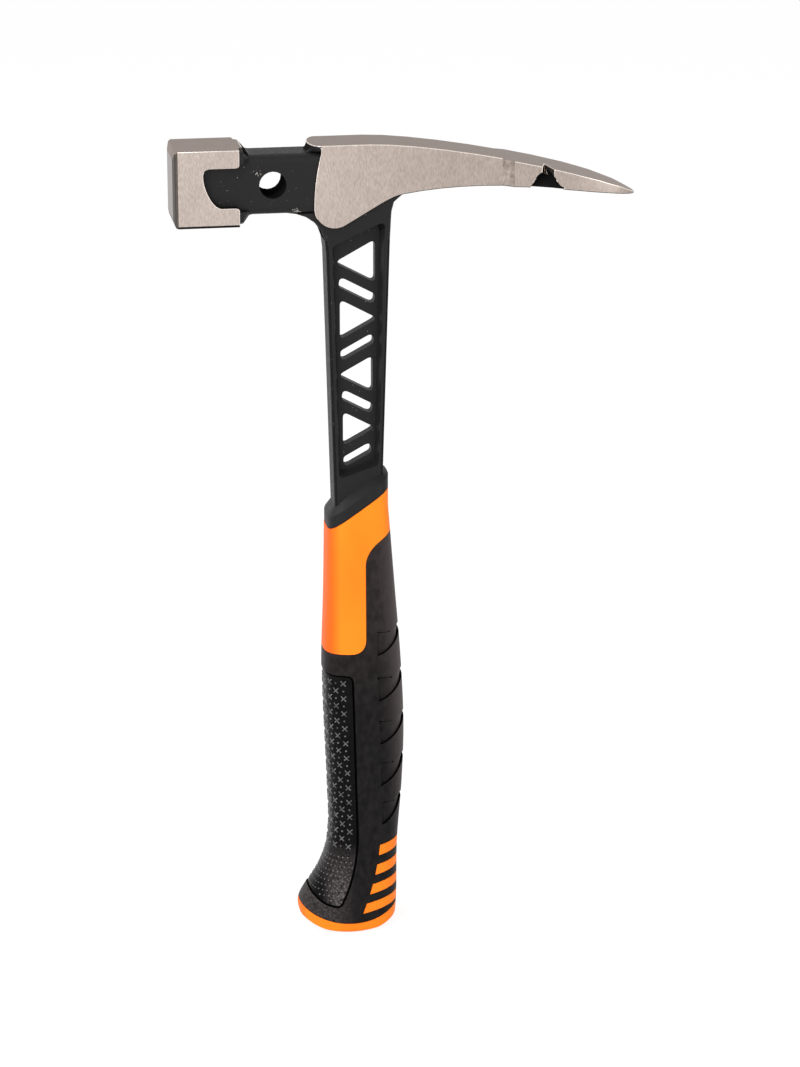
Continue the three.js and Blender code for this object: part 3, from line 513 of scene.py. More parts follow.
def tube_faces(levels, count):
    faces = []
    for k in range(levels - 1):
        low, high = k * count, (k + 1) * count
        for i in range(count):
            j = (i + 1) % count
            faces.append((low + i, low + j, high + j, high + i))
    faces.append(tuple(reversed(range(count))))
    faces.append(tuple(range((levels - 1) * count, levels * count)))
    return faces


def even(inset):
    return lambda heights, reaches: np.full_like(heights, inset)


def grip_loft(inset_at, step=LOFT_STEP):
    low, high = -PAST, GRIP_LENGTH + LOFT_OVER
    heights = np.linspace(low, high, math.ceil((high - low) / step) + 1)
    angles = np.linspace(0, 2 * math.pi, LOFT_SIDES, endpoint=False)
    tall, around = np.meshgrid(heights, angles, indexing="ij")
    reach, _ = grip_section(tall, around, 0)
    x, y = grip_section(tall, around, inset_at(tall, reach))
    points = np.stack([x, y, tall], axis=-1).reshape(-1, 3).tolist()
    return solid("grip_loft", points, tube_faces(len(heights), LOFT_SIDES))


def turn_outwards(piece):
    shell = bmesh.new()
    shell.from_mesh(piece.data)
    bmesh.ops.recalc_face_normals(shell, faces=shell.faces)
    shell.to_mesh(piece.data)
    shell.free()
    return piece


def side_prism(outline, half=FAR):
    points = [(x, -half, z) for x, z in outline] + [(x, half, z) for x, z in outline]
    return turn_outwards(solid("side_prism", points, tube_faces(2, len(outline))))


def combine(piece, tool, operation):
    join = piece.modifiers.new("join", "BOOLEAN")
    join.object = tool
    join.operation = operation
    join.solver = "MANIFOLD"
    settle(piece)
    bpy.data.objects.remove(tool)
    return piece


def bend(start, corner, end, count=BEND_STEPS):
    t = np.linspace(0, 1, count + 1)[:, None]
    curve = (1 - t)**2 * np.array(start) + 2 * t * (1 - t) * np.array(corner) + t**2 * np.array(end)
    return [tuple(point) for point in curve]


def shoulder_height(x, offset):
    return GRIP_LENGTH + offset + SHOULDER_SLOPE * x


def panel_land(gap):
    edge = PANEL_EDGE + gap
    base = PANEL_BASE - gap
    collar = -COLLAR_HEIGHT - gap * math.hypot(1, SHOULDER_SLOPE)
    turn = shoulder_height(edge, collar)
    outline = [(-FAR, base)]
    outline += bend((edge - PANEL_RADIUS, base), (edge, base), (edge, base + PANEL_RADIUS))
    outline += bend((edge, turn - PANEL_RADIUS), (edge, turn),
                    (edge + PANEL_RADIUS, shoulder_height(edge + PANEL_RADIUS, collar)))
    outline += [(FAR, shoulder_height(FAR, collar)), (FAR, shoulder_height(FAR, PAST)),
                (-FAR, shoulder_height(FAR, PAST))]
    return side_prism(outline)


def bar_end(z, gap):
    drop = BAR_TOP - z
    return BAR_REACH - gap - BAR_LEAN * drop - drop**2 / (2 * BAR_SWEEP)


def bar_land(i, gap):
    top = BAR_TOP - i * BAR_PITCH + gap
    bottom = top - BAR_HEIGHT - 2 * gap
    inner_top = bar_end(top, gap)
    inner_bottom = bar_end(bottom, gap)
    return side_prism([(inner_bottom, bottom), (FAR, bottom + BAR_SLOPE * (FAR - inner_bottom)),
                       (FAR, top + BAR_SLOPE * (FAR - inner_top)), (inner_top, top)])


def grip_span(rocker, top):
    turn = np.linspace(math.pi, 2 * math.pi, ROCKER_STEPS + 1)
    outline = [(rocker * math.cos(a) - ROCKER_REACH, ROCKER_RADIUS + rocker * math.sin(a)) for a in turn]
    outline += [(x, shoulder_height(x, top)) for x in (rocker - ROCKER_REACH, -rocker - ROCKER_REACH)]
    return side_prism(outline)


def to_frame(piece, angle=SHADE_ANGLE):
    piece.data.transform(design_to_frame)
    piece.data.shade_smooth()
    piece.data.set_sharp_from_angle(angle=math.radians(angle))


def one_material(piece, material):
    piece.data.materials.clear()
    piece.data.materials.append(material)
    for face in piece.data.polygons:
        face.material_index = 0


def orange_plastic(name, front_shade_reach):
    material, tree, shader = new_material(name, ORANGE_ROUGHNESS, specular=ORANGE_SPECULAR)
    cloud = stretched_noise(tree, ORANGE_CLOUD, detail=2)
    skin = stretched_noise(tree, ORANGE_SKIN, detail=2)
    # Painted shade: redder along the grip's front, fading over a few millimetres.
    front = graded_along(tree, "X", -front_shade_reach, FRONT_SHADE_FADE - front_shade_reach, 1, 0)
    plastic = mixed(tree, graded(tree, cloud, *ORANGE_CLOUD_SPAN), ORANGE_DEEP, ORANGE)
    tree.links.new(mixed(tree, front, plastic, ORANGE_FRONT_SHADE), shader.inputs["Base Color"])
    roughened(tree, shader, skin, *ORANGE_ROUGHNESS_SPAN)
    bumped(tree, shader, skin, *ORANGE_BUMP)
    return material


core_lands = panel_land(0)
for i in range(BAR_COUNT):
    combine(core_lands, bar_land(i, 0), "UNION")
core = combine(grip_loft(even(SKIN)), core_lands, "INTERSECT")
combine(core, grip_span(ROCKER_RADIUS - CAP_RIM - SEAM, -SEAM), "INTERSECT")
core.name = "grip_core_lands"
one_material(core, orange_plastic("satin_orange", CORE_FRONT_SHADE_REACH))
to_frame(core)
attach(core, "root")
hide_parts("grip_core")

# Grip overmould: soft black rubber, the second shot, moulded over the core with windows for the orange.
# A finger panel is let into its front inside a fine groove, and sloping gills are pressed into its back.
GILL_COUNT = 5
GILL_PITCH = 18.1
GILL_GROWTH = 1.034
GILL_BASE = 48.1
GILL_REACH = 8.6
GILL_LEAN = 0.5
GILL_HEIGHT = 10.4
GILL_RISE = 9.6
GILL_TOP_RISE = 2.2
GILL_BEND = (0.63, 0.22)
GILL_BEND_STEPS = 14
GILL_CUT = 1.1
GILL_TOP_CUT = 0.32
GILL_SPREAD = 2
GILL_STEP = 0.75
GILL_OVERLAP = 0.4
GILL_LINE = 0.75
GILL_LINE_START = 0.25
GILL_LINE_CUT = 2.0
GILL_MARK = 5.6
GILL_MARK_LEAD = 0.1
GILL_MARK_FALL = 0.45
GILL_MARK_WIDTH = 0.3
FINGER_TOP = 115.7
FINGER_TOP_REACH = 3.8
FINGER_MIDDLE = 45
FINGER_MIDDLE_REACH = 2
FINGER_BOTTOM = 11.5
FINGER_BOTTOM_REACH = 9.4
FINGER_CORNER = 3
FINGER_STEPS = 16
FINGER_RECESS = 0.5
FINGER_OVERLAP = 0.6
GROOVE = 0.85
GROOVE_CUT = 1.3
LINE_MARGIN = 0.03
RUBBER = (0.0145, 0.0114, 0.0114)
RUBBER_LIGHT = (0.028, 0.0214, 0.0214)
# Painted shade: the rubber below the upper grip is coloured darker, mottled between these two.
RUBBER_DARK = (0.0055, 0.005, 0.0051)
RUBBER_SHADED = (0.0125, 0.0112, 0.0114)
# Painted light: the back of the grip is coloured lighter towards its rim.
RUBBER_BACK_LIGHT = (0.074, 0.059, 0.059)
# Painted sheen: the toe of the rubber and of the finger panel is coloured lighter.
RUBBER_TOE_SHEEN = (0.062, 0.052, 0.052)
FINGER_TOE_SHEEN = (0.13, 0.11, 0.11)
FINGER_DARK = (0.0015, 0.0014, 0.0014)
FINGER_LIGHT = (0.004, 0.0038, 0.0038)
# Painted shade: the faces of the gill lines and of the finger groove are coloured near black.
LINE_SHADE = (0.001, 0.001, 0.001)
# The painted shade in the rubber is full below the first height and gone above the second.
RUBBER_DARK_TOP = 100
RUBBER_LIGHT_FROM = 150
RUBBER_MOTTLE = (420, 420, 260)
MOTTLE_SPAN = (0.35, 0.68)
TOE_GRAIN = (1100, 1100, 1100)
TOE_FULL = 16
TOE_NONE = 40
RUBBER_TOE_SPAN = (-3, -12)
FINGER_TOE_SPAN = (-17, -11)
BACK_LEAN = 0.055
BACK_FROM = 13.5
BACK_TO = 23
BACK_FADE = 2.0
RUBBER_SKIN = (1300, 1300, 1300)
RUBBER_UNEVEN = 0.08
RUBBER_BUMP = (0.2, 0.00015)
RUBBER_SHEEN = 0.12


def gill_low(k):
    return GILL_BASE + GILL_PITCH * (GILL_GROWTH**k - 1) / (GILL_GROWTH - 1)


def gill_edge(k, drop):
    low = gill_low(k) - drop
    reach = GILL_REACH - GILL_LEAN * k
    back = float(back_at(gill_low(k)))
    corner = (reach + GILL_BEND[0] * (back - reach), low + GILL_BEND[1] * GILL_RISE)
    return bend((reach, low), corner, (back, low + GILL_RISE), GILL_BEND_STEPS)


def gill_prism(k, grow):
    top = gill_low(k) + GILL_HEIGHT + grow
    edge = gill_edge(k, grow)
    start = (edge[0][0] - grow, edge[0][1])
    outline = [(start[0], top), start] + edge
    outline += [(FAR, edge[-1][1]), (FAR, top + GILL_TOP_RISE), (edge[-1][0], top + GILL_TOP_RISE)]
    return side_prism(outline)


def gill_line(k):
    lower = gill_edge(k, 0)
    share = np.linspace(GILL_LINE_START, 1, len(lower))
    upper = [(x, z + GILL_LINE * w) for (x, z), w in zip(lower, share)]
    return lower + [(FAR, lower[-1][1]), (FAR, upper[-1][1])] + upper[::-1]


def gill_mark(k):
    top = gill_low(k) + GILL_HEIGHT
    start = GILL_REACH - GILL_LEAN * k - GILL_MARK_LEAD
    end = start + GILL_MARK
    return [(start, top - GILL_MARK_WIDTH), (end, top - GILL_MARK_FALL - GILL_MARK_WIDTH / 2),
            (end, top - GILL_MARK_FALL), (start, top)]


def gill_slope(heights, reaches):
    inset = np.zeros_like(heights)
    for k in range(GILL_COUNT):
        edge_x, edge_z = np.array(gill_edge(k, 0)).T
        low = np.interp(reaches, edge_x, edge_z)
        top = gill_low(k) + GILL_HEIGHT + GILL_TOP_RISE * np.interp(reaches, edge_x[[0, -1]], [0, 1])
        sloped = GILL_TOP_CUT + (GILL_CUT - GILL_TOP_CUT) * np.clip((top - heights) / (top - low), 0, 1)
        inset = np.where((heights > low - GILL_SPREAD) & (heights < top + GILL_SPREAD), sloped, inset)
    return inset + 2 * SKIN


def finger_foot(count):
    return bend((-FAR, FINGER_BOTTOM + FAR), (-float(front_at(FINGER_BOTTOM)), FINGER_BOTTOM + FINGER_CORNER),
                (-FINGER_BOTTOM_REACH - FINGER_CORNER, FINGER_BOTTOM + FINGER_CORNER / 3), count)


def finger_side(count):
    return bend((-FINGER_BOTTOM_REACH + FINGER_CORNER / 3, FINGER_BOTTOM + FINGER_CORNER),
                (-FINGER_MIDDLE_REACH, (FINGER_BOTTOM + FINGER_MIDDLE) / 2),
                (-FINGER_MIDDLE_REACH, FINGER_MIDDLE), count)


def finger_outline():
    foot = finger_foot(FINGER_STEPS)
    side = finger_side(FINGER_STEPS)
    heel = bend(foot[-1], (-FINGER_BOTTOM_REACH, FINGER_BOTTOM), side[0])
    top = bend((-FINGER_TOP_REACH, FINGER_TOP - FINGER_CORNER), (-FINGER_TOP_REACH, FINGER_TOP),
               (-FINGER_TOP_REACH - FINGER_CORNER, FINGER_TOP))
    return [(-FAR, FINGER_TOP)] + foot + heel[1:] + side[1:] + top


def grown(outline, distance):
    points = np.array(outline)
    along = np.roll(points, -1, axis=0) - points
    outward = np.stack([along[:, 1], -along[:, 0]], axis=1)
    outward /= np.linalg.norm(outward, axis=1, keepdims=True)
    both = outward + np.roll(outward, 1, axis=0)
    both /= np.linalg.norm(both, axis=1, keepdims=True)
    return [tuple(point) for point in points + both * distance]


def inside(outline, x, z):
    crossings = 0
    for (x0, z0), (x1, z1) in zip(outline, outline[1:] + outline[:1]):
        if (z0 > z) != (z1 > z) and x < x0 + (z - z0) / (z1 - z0) * (x1 - x0):
            crossings += 1
    return crossings % 2 == 1


def mottled(tree, dark, light, scale=RUBBER_MOTTLE):
    patches = stretched_noise(tree, scale, detail=4)
    return mixed(tree, graded(tree, patches, *MOTTLE_SPAN), dark, light)


# Share of the painted sheen on the toe: full below TOE_FULL, gone above TOE_NONE, and graded across the grip
# by the span.
def toe_sheen_share(tree, span):
    low = graded_along(tree, "Z", TOE_FULL, TOE_NONE, 1, 0)
    ahead = graded_along(tree, "X", *span)
    return calculated(tree, "MULTIPLY", low, ahead)


# Painted light along the back of the grip, growing towards the rim and leaning with height.
def back_light_share(tree):
    leaned = calculated(tree, "MULTIPLY_ADD", along_axis(tree, "Z"), BACK_LEAN, along_axis(tree, "X"))
    share = graded(tree, leaned, (shaft_x + BACK_FROM) * MM, (shaft_x + BACK_TO) * MM)
    return calculated(tree, "POWER", share, BACK_FADE)


def moulded_rubber(name, roughness, specular):
    material, tree, shader = new_material(name, roughness, specular=specular)
    skin = stretched_noise(tree, RUBBER_SKIN, detail=3)
    roughened(tree, shader, skin, roughness - RUBBER_UNEVEN, roughness + RUBBER_UNEVEN)
    bumped(tree, shader, skin, *RUBBER_BUMP)
    return material, tree, shader


def add_sheen(shader, roughness):
    shader.inputs["Sheen Weight"].default_value = RUBBER_SHEEN
    shader.inputs["Sheen Roughness"].default_value = roughness


rubber, tree, shader = moulded_rubber("matt_rubber", roughness=0.66, specular=0.06)
# Painted shade: the rubber darkens from 150 mm down to 100 mm up the grip and stays darker below.
height = graded_along(tree, "Z", RUBBER_DARK_TOP, RUBBER_LIGHT_FROM)
rubber_light_and_shade = mixed(tree, height, mottled(tree, RUBBER_DARK, RUBBER_SHADED), mottled(tree, RUBBER, RUBBER_LIGHT))
# Painted sheen on the toe
toe_sheen_colour = mottled(tree, RUBBER_SHADED, RUBBER_TOE_SHEEN, TOE_GRAIN)
rubber_light_and_shade = mixed(tree, toe_sheen_share(tree, RUBBER_TOE_SPAN), rubber_light_and_shade, toe_sheen_colour)
rubber_light_and_shade = mixed(tree, back_light_share(tree), rubber_light_and_shade, RUBBER_BACK_LIGHT)
tree.links.new(rubber_light_and_shade, shader.inputs["Base Color"])
add_sheen(shader, roughness=0.4)

finger_rubber, tree, shader = moulded_rubber("finger_rubber", roughness=0.36, specular=0.06)
floor_colour = mottled(tree, FINGER_DARK, FINGER_LIGHT)
toe_sheen_colour = mottled(tree, RUBBER_SHADED, FINGER_TOE_SHEEN, TOE_GRAIN)
floor_colour = mixed(tree, toe_sheen_share(tree, FINGER_TOE_SPAN), floor_colour, toe_sheen_colour)
tree.links.new(floor_colour, shader.inputs["Base Color"])
add_sheen(shader, roughness=0.3)

# A near-black copy of the rubber for the painted shade in the gill lines and the finger groove
line_shade_rubber, tree, shader = moulded_rubber("line_shade_rubber", roughness=0.8, specular=0.02)
shader.inputs["Base Color"].default_value = (*LINE_SHADE, 1)

overmould = grip_loft(even(SKIN))
gill_floor = grip_loft(gill_slope, GILL_STEP)
gill_room = gill_prism(0, GILL_OVERLAP)
for k in range(GILL_COUNT):
    combine(overmould, gill_prism(k, 0), "DIFFERENCE")
    if k:
        combine(gill_room, gill_prism(k, GILL_OVERLAP), "UNION")
combine(overmould, combine(gill_floor, gill_room, "INTERSECT"), "UNION")
for k in range(GILL_COUNT):
    for line in (gill_line(k), gill_mark(k)):
        blade = combine(side_prism(line), grip_loft(even(GILL_LINE_CUT)), "DIFFERENCE")
        combine(overmould, blade, "DIFFERENCE")
finger = finger_outline()
combine(overmould, side_prism(finger), "DIFFERENCE")
finger_room = side_prism(grown(finger, FINGER_OVERLAP))
combine(overmould, combine(grip_loft(even(FINGER_RECESS)), finger_room, "INTERSECT"), "UNION")
outer = grown(finger, GROOVE / 2)
inner = grown(finger, -GROOVE / 2)
groove = combine(side_prism(outer), side_prism(inner, 2 * FAR), "DIFFERENCE")
combine(overmould, combine(groove, grip_loft(even(GROOVE_CUT)), "DIFFERENCE"), "DIFFERENCE")
combine(overmould, panel_land(SEAM), "DIFFERENCE")
for i in range(BAR_COUNT):
    combine(overmould, bar_land(i, SEAM), "DIFFERENCE")
combine(overmould, grip_span(ROCKER_RADIUS - CAP_RIM - SEAM, -SEAM), "INTERSECT")
overmould.name = "grip_rubber"

HANDLED, FINGERS, SHADED_LINES = range(3)
overmould.data.materials.clear()
for material in (rubber, finger_rubber, line_shade_rubber):
    overmould.data.materials.append(material)
lines = [grown(line(k), LINE_MARGIN) for k in range(GILL_COUNT) for line in (gill_line, gill_mark)]
outer = grown(outer, LINE_MARGIN)
inner = grown(inner, -LINE_MARGIN)
# Faces in the gill lines and the finger groove get the painted shade; the rest get the body's or the finger
# panel's rubber.
for face in overmould.data.polygons:
    place = (face.center.x, face.center.z)
    in_groove = inside(outer, *place) and not inside(inner, *place)
    if in_groove or any(inside(line, *place) for line in lines):
        face.material_index = SHADED_LINES
    else:
        face.material_index = FINGERS if inside(finger, *place) else HANDLED
to_frame(overmould)
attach(overmould, "root")
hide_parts("grip_overmould")

# Finger studs: small raised crosses and dots, part of the rubber shot, moulded in a chequered lattice over
# the finger panel so that the hand doesn't slip. Towards the toe there are only dots, smaller and closer.
STUD_TOP = 112.5
STUD_PITCH = 3.35
STUD_SIZE = 1.0
STUD_MARGIN = 1.6
STUD_TOE = 36
TOE_PITCH = 2.1
TOE_SIZE = 0.85
CROSS_SIZE = 3.2
CROSS_CELLS = 7
CROSS_HEIGHT = 0.42
DOT_RADIUS = 0.45
DOT_HEIGHT = 0.4
DOT_SIDES = 8
STUD_SINK = 0.12
STUD_TAPER = 0.75
STUD_WELD = 0.001
STUD_SWEEP_END = 1.75
STUD_SWEEP_STEPS = 300
STUD_EDGE_STEPS = 24
STUD_SHADE_ANGLE = 30
TURN_STEP = 0.01
RISE_STEP = 0.1
# Painted highlights: the studs are the same rubber as the panel, coloured lighter, some more than others, for
# their glints.
STUD_GLINT_DIM = (0.03, 0.0285, 0.0285)
STUD_GLINT = (0.16, 0.155, 0.155)
STUD_MOTTLE = (900, 900, 700)


def finger_edge(height):
    top_corner = (-FINGER_TOP_REACH, FINGER_TOP - FINGER_CORNER)
    reaches, heights = np.array(finger_side(STUD_EDGE_STEPS) + [top_corner]).T
    return float(np.interp(height, heights, reaches))


def finger_lowest(x):
    reaches, heights = np.array(finger_foot(STUD_EDGE_STEPS)).T
    return float(np.interp(x, reaches, heights))


def finger_point(height, angle):
    x, y = grip_section(np.array([height]), np.array([angle]), FINGER_RECESS)
    return np.array([x[0], y[0], height])


def stud_rows(top, bottom, pitch, crosses, size):
    sweep = np.linspace(math.pi, STUD_SWEEP_END * math.pi, STUD_SWEEP_STEPS)
    studs = []
    for row in range(int((top - bottom) / pitch) + 1):
        height = top - row * pitch
        x, y = grip_section(np.full_like(sweep, height), sweep, FINGER_RECESS)
        length = np.concatenate([[0], np.cumsum(np.hypot(np.diff(x), np.diff(y)))])
        for column in range(int(length[-1] / pitch)):
            angle = float(np.interp((column + 0.5) * pitch, length, sweep))
            place = finger_point(height, angle)
            room = finger_edge(height) - STUD_MARGIN - place[0]
            if room < 0 or height - finger_lowest(place[0]) < STUD_MARGIN:
                continue
            around = finger_point(height, angle + TURN_STEP) - place
            upward = finger_point(height + RISE_STEP, angle) - place
            out = np.cross(around, upward)
            cross = crosses and (row + column) % 2 == 0
            studs.append((place, out / np.linalg.norm(out), around / np.linalg.norm(around), cross, size))
    return studs


def stud_points():
    near = stud_rows(STUD_TOP, STUD_TOE, STUD_PITCH, True, STUD_SIZE)
    near += stud_rows(STUD_TOE - TOE_PITCH, FINGER_BOTTOM, TOE_PITCH, False, TOE_SIZE)
    flip = np.array([1, -1, 1])
    mirrored = [(place * flip, out * flip, around * flip, *rest) for place, out, around, *rest in near]
    columns = [np.array(column, float) for column in zip(*(near + mirrored))]
    places, outs, arounds, crosses, sizes = columns
    lattice = solid("finger_studs", places.tolist(), [])
    for name, vectors in (("out", outs), ("around", arounds)):
        layer = lattice.data.attributes.new(name, "FLOAT_VECTOR", "POINT")
        layer.data.foreach_set("vector", vectors.ravel())
    for name, values in (("cross", crosses), ("size", sizes)):
        layer = lattice.data.attributes.new(name, "FLOAT", "POINT")
        layer.data.foreach_set("value", values)
    return lattice


def attribute(tree, name, kind):
    named = node(tree, "GeometryNodeInputNamedAttribute", {"Name": name}, data_type=kind)
    return named.outputs["Attribute"]


def cross_shape(tree, size, height, taper, lowered):
    grid = node(tree, "GeometryNodeMeshGrid", {"Size X": size, "Size Y": size, "Vertices X": CROSS_CELLS + 1,
                                               "Vertices Y": CROSS_CELLS + 1}).outputs["Mesh"]
    position = node(tree, "GeometryNodeInputPosition").outputs[0]
    place = node(tree, "ShaderNodeSeparateXYZ", {0: position}).outputs
    nearest = calculated(tree, "MINIMUM", calculated(tree, "ABSOLUTE", place["X"]),
                         calculated(tree, "ABSOLUTE", place["Y"]))
    corner = calculated(tree, "GREATER_THAN", nearest, calculated(tree, "MULTIPLY", size, 0.5 / CROSS_CELLS))
    arms = node(tree, "GeometryNodeDeleteGeometry", {"Geometry": grid, "Selection": corner},
                domain="FACE").outputs[0]
    raised = node(tree, "GeometryNodeExtrudeMesh",
                  {"Mesh": arms, "Offset Scale": height, "Individual": False})
    tapered = node(tree, "GeometryNodeScaleElements", {"Geometry": raised.outputs["Mesh"],
                                                       "Selection": raised.outputs["Top"], "Scale": taper})
    underside = node(tree, "GeometryNodeFlipFaces", {0: arms}).outputs[0]
    whole = node(tree, "GeometryNodeJoinGeometry")
    for part in (underside, tapered.outputs[0]):
        tree.links.new(part, whole.inputs[0])
    closed = node(tree, "GeometryNodeMergeByDistance", {"Geometry": whole.outputs[0], "Distance": STUD_WELD})
    return node(tree, "GeometryNodeTransform", {"Geometry": closed.outputs[0], "Translation": lowered,
                                                "Rotation": (0, 0, math.pi / 4)}).outputs[0]


def dot_shape(tree, radius, height, taper, lowered):
    cone = node(tree, "GeometryNodeMeshCone", {"Vertices": DOT_SIDES, "Radius Bottom": radius,
                                               "Radius Top": calculated(tree, "MULTIPLY", radius, taper),
                                               "Depth": height}).outputs["Mesh"]
    return node(tree, "GeometryNodeTransform", {"Geometry": cone, "Translation": lowered}).outputs[0]


def stud_turn(tree):
    upright = node(tree, "FunctionNodeAlignRotationToVector",
                   {"Vector": attribute(tree, "out", "FLOAT_VECTOR")}, axis="Z").outputs[0]
    return node(tree, "FunctionNodeAlignRotationToVector",
                {"Rotation": upright, "Vector": attribute(tree, "around", "FLOAT_VECTOR")},
                axis="X", pivot_axis="Z").outputs[0]


def stud_tree(material):
    tree = bpy.data.node_groups.new("finger_stud_lattice", "GeometryNodeTree")
    tree.interface.new_socket("Geometry", in_out="OUTPUT", socket_type="NodeSocketGeometry")
    tree.interface.new_socket("Geometry", in_out="INPUT", socket_type="NodeSocketGeometry")
    sizes = {"Cross Size": CROSS_SIZE, "Cross Height": CROSS_HEIGHT, "Dot Radius": DOT_RADIUS,
             "Dot Height": DOT_HEIGHT, "Sink": STUD_SINK, "Taper": STUD_TAPER}
    by_identifier = {}
    for name, size in sizes.items():
        socket = tree.interface.new_socket(name, in_out="INPUT", socket_type="NodeSocketFloat")
        by_identifier[socket.identifier] = size
    given = node(tree, "NodeGroupInput").outputs
    sunk = calculated(tree, "MULTIPLY", given["Sink"], -1.0)
    lowered = node(tree, "ShaderNodeCombineXYZ", {"Z": sunk}).outputs[0]
    cross = cross_shape(tree, given["Cross Size"], given["Cross Height"], given["Taper"], lowered)
    dot = dot_shape(tree, given["Dot Radius"], given["Dot Height"], given["Taper"], lowered)
    turned = stud_turn(tree)
    is_cross = attribute(tree, "cross", "FLOAT")
    all_studs = node(tree, "GeometryNodeJoinGeometry")
    for shape, chosen in ((cross, is_cross), (dot, calculated(tree, "SUBTRACT", 1.0, is_cross))):
        placed = node(tree, "GeometryNodeInstanceOnPoints",
                      {"Points": given["Geometry"], "Selection": chosen, "Instance": shape,
                       "Rotation": turned, "Scale": attribute(tree, "size", "FLOAT")})
        tree.links.new(placed.outputs[0], all_studs.inputs[0])
    real = node(tree, "GeometryNodeRealizeInstances", {0: all_studs.outputs[0]}).outputs[0]
    coated = node(tree, "GeometryNodeSetMaterial", {"Geometry": real, "Material": material}).outputs[0]
    node(tree, "NodeGroupOutput", {0: coated})
    return tree, by_identifier


studs = stud_points()
# Painted highlights on the studs, mottled from dimmer to brighter glints
stud_glint_rubber, tree, shader = moulded_rubber("stud_glint_rubber", roughness=0.32, specular=0.5)
tree.links.new(mottled(tree, STUD_GLINT_DIM, STUD_GLINT, STUD_MOTTLE), shader.inputs["Base Color"])
spread = studs.modifiers.new("studs", "NODES")
spread.node_group, stud_sizes = stud_tree(stud_glint_rubber)
for identifier, size in stud_sizes.items():
    spread[identifier] = size
settle(studs)
one_material(studs, stud_glint_rubber)
to_frame(studs, STUD_SHADE_ANGLE)
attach(studs, "root")

# Butt cap: an orange plastic moulding that closes the lower end of the grip and is plugged into the core.
# Its rocker-shaped rim, rounded at both sides, is the lowest edge of the hammer.
CAP_EDGE_RADIUS = 2
CAP_EDGE_STEPS = 8
CAP_STEPS = 288
# Where the cap's painted shade along the front begins
CAP_FRONT_SHADE_REACH = 27


def cap_wheel():
    half = float(half_depth_at(0.0)) - SKIN
    radius = ROCKER_RADIUS - CAP_EDGE_RADIUS
    arc = np.linspace(0, math.pi / 2, CAP_EDGE_STEPS + 1)
    side = [(radius + CAP_EDGE_RADIUS * math.sin(a), half - CAP_EDGE_RADIUS * (1 - math.cos(a))) for a in arc]
    profile = [(radius - PAST, half)] + side + [(r, -y) for r, y in reversed(side)] + [(radius - PAST, -half)]
    points = []
    for a in np.linspace(0, 2 * math.pi, CAP_STEPS, endpoint=False):
        points += [(r * math.sin(a) - ROCKER_REACH, y, ROCKER_RADIUS - r * math.cos(a)) for r, y in profile]
    count = len(profile)
    faces = []
    for k in range(CAP_STEPS):
        here, there = k * count, (k + 1) % CAP_STEPS * count
        for i in range(count):
            j = (i + 1) % count
            faces.append((here + i, here + j, there + j, there + i))
    return turn_outwards(solid("cap_wheel", points, faces))


cap = combine(grip_loft(even(SKIN)), cap_wheel(), "INTERSECT")
combine(cap, grip_span(ROCKER_RADIUS - CAP_RIM, 0), "DIFFERENCE")
cap.name = "butt_end_cap"
one_material(cap, orange_plastic("cap_orange", CAP_FRONT_SHADE_REACH))
to_frame(cap)
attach(cap, "root")
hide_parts("butt_cap")

# Stage: a white floor that keeps the hammer's shadow, a white room, four soft lamps and the camera at the
# photograph's angle and distance. The floor's size and drop are in metres.
FLOOR_SIZE = 30
FLOOR_DROP = 0.0002
FLOOR_GREY = (0.9, 0.9, 0.9, 1)
WHITE = (1, 1, 1, 1)
FLOOR_GLOW = 1.1
FLOOR_GLOW_SHARE = 0.8
ROOM_LIGHT = 0.55
ROOM_SEEN = 1.0
# Place in metres, power in watts and width in metres of each lamp
LAMPS = {"key": ((-0.9, -1.5, 0.75), 13, 0.9), "top": ((-0.72, -0.9, 1.25), 8, 0.5),
         "fill": ((1.2, -1.2, 0.5), 7, 0.9), "rim": ((-1.1, 0.3, 1.05), 8, 0.6)}
CAMERA_TARGET = (18.2, 0, 173.25)
CAMERA_DISTANCE = 1500
CAMERA_AZIMUTH = -9.2
CAMERA_ELEVATION = 17.8
FOCAL_PIXELS = 3600
FRAME_HEIGHT = 1067
SENSOR = 36


def seen_directly(tree):
    rays = node(tree, "ShaderNodeLightPath").outputs
    seen = calculated(tree, "MAXIMUM", rays["Is Camera Ray"], rays["Is Glossy Ray"])
    return calculated(tree, "MAXIMUM", seen, rays["Is Transmission Ray"])


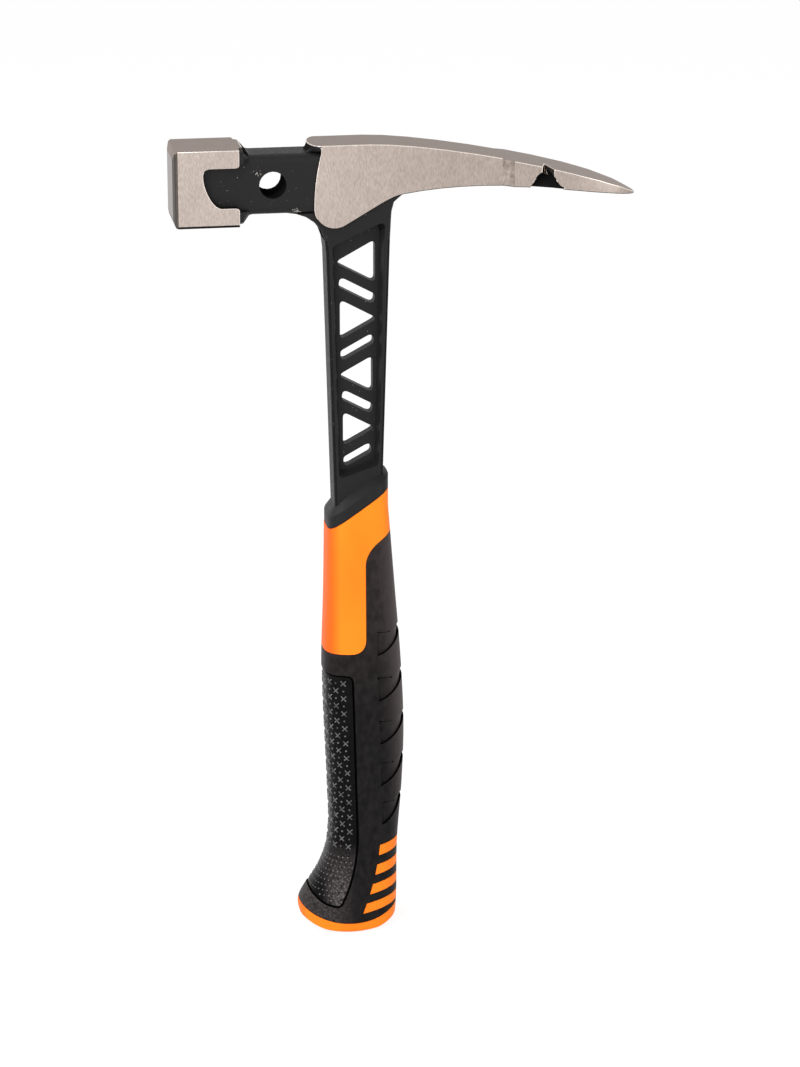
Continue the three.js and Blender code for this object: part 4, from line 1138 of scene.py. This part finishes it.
floor_mesh = bpy.data.meshes.new("floor")
half = FLOOR_SIZE / 2
corners = [(-half, -half), (half, -half), (half, half), (-half, half)]
floor_mesh.from_pydata([(x, y, -FLOOR_DROP) for x, y in corners], [], [(0, 1, 2, 3)])
floor = bpy.data.objects.new("floor", floor_mesh)
bpy.context.scene.collection.objects.link(floor)
floor_material = bpy.data.materials.new("white_floor")
floor_material.use_nodes = True
tree = floor_material.node_tree
tree.nodes.clear()
share = calculated(tree, "MULTIPLY", seen_directly(tree), FLOOR_GLOW_SHARE)
matt = node(tree, "ShaderNodeBsdfDiffuse", {"Color": FLOOR_GREY}).outputs[0]
glow = node(tree, "ShaderNodeEmission", {"Color": WHITE, "Strength": FLOOR_GLOW}).outputs[0]
blend = node(tree, "ShaderNodeMixShader", {0: share, 1: matt, 2: glow}).outputs[0]
node(tree, "ShaderNodeOutputMaterial", {"Surface": blend})
floor_mesh.materials.append(floor_material)

world = bpy.data.worlds.new("studio")
bpy.context.scene.world = world
world.use_nodes = True
tree = world.node_tree
tree.nodes.clear()
level = graded(tree, seen_directly(tree), 0, 1, ROOM_LIGHT, ROOM_SEEN)
sky = node(tree, "ShaderNodeBackground", {"Color": WHITE, "Strength": level}).outputs[0]
node(tree, "ShaderNodeOutputWorld", {"Surface": sky})

target = design_to_frame @ Vector(CAMERA_TARGET)
for name, (place, power, width) in LAMPS.items():
    light = bpy.data.lights.new(name, "AREA")
    light.energy = power
    light.size = width
    lamp = bpy.data.objects.new(name, light)
    bpy.context.scene.collection.objects.link(lamp)
    lamp.location = place
    lamp.rotation_euler = (target - Vector(place)).to_track_quat("-Z", "Y").to_euler()

camera_data = bpy.data.cameras.new("camera")
camera_data.sensor_fit = "VERTICAL"
camera_data.sensor_height = SENSOR
camera_data.lens = SENSOR * FOCAL_PIXELS / FRAME_HEIGHT
camera = bpy.data.objects.new("camera", camera_data)
bpy.context.scene.collection.objects.link(camera)
azimuth = math.radians(CAMERA_AZIMUTH)
elevation = math.radians(CAMERA_ELEVATION)
aim = Vector((math.sin(azimuth) * math.cos(elevation), -math.cos(azimuth) * math.cos(elevation),
              math.sin(elevation)))
camera.location = target + CAMERA_DISTANCE * MM * aim
camera.rotation_euler = (-aim).to_track_quat("-Z", "Y").to_euler()
bpy.context.scene.camera = camera
bpy.context.scene.view_settings.view_transform = "Standard"
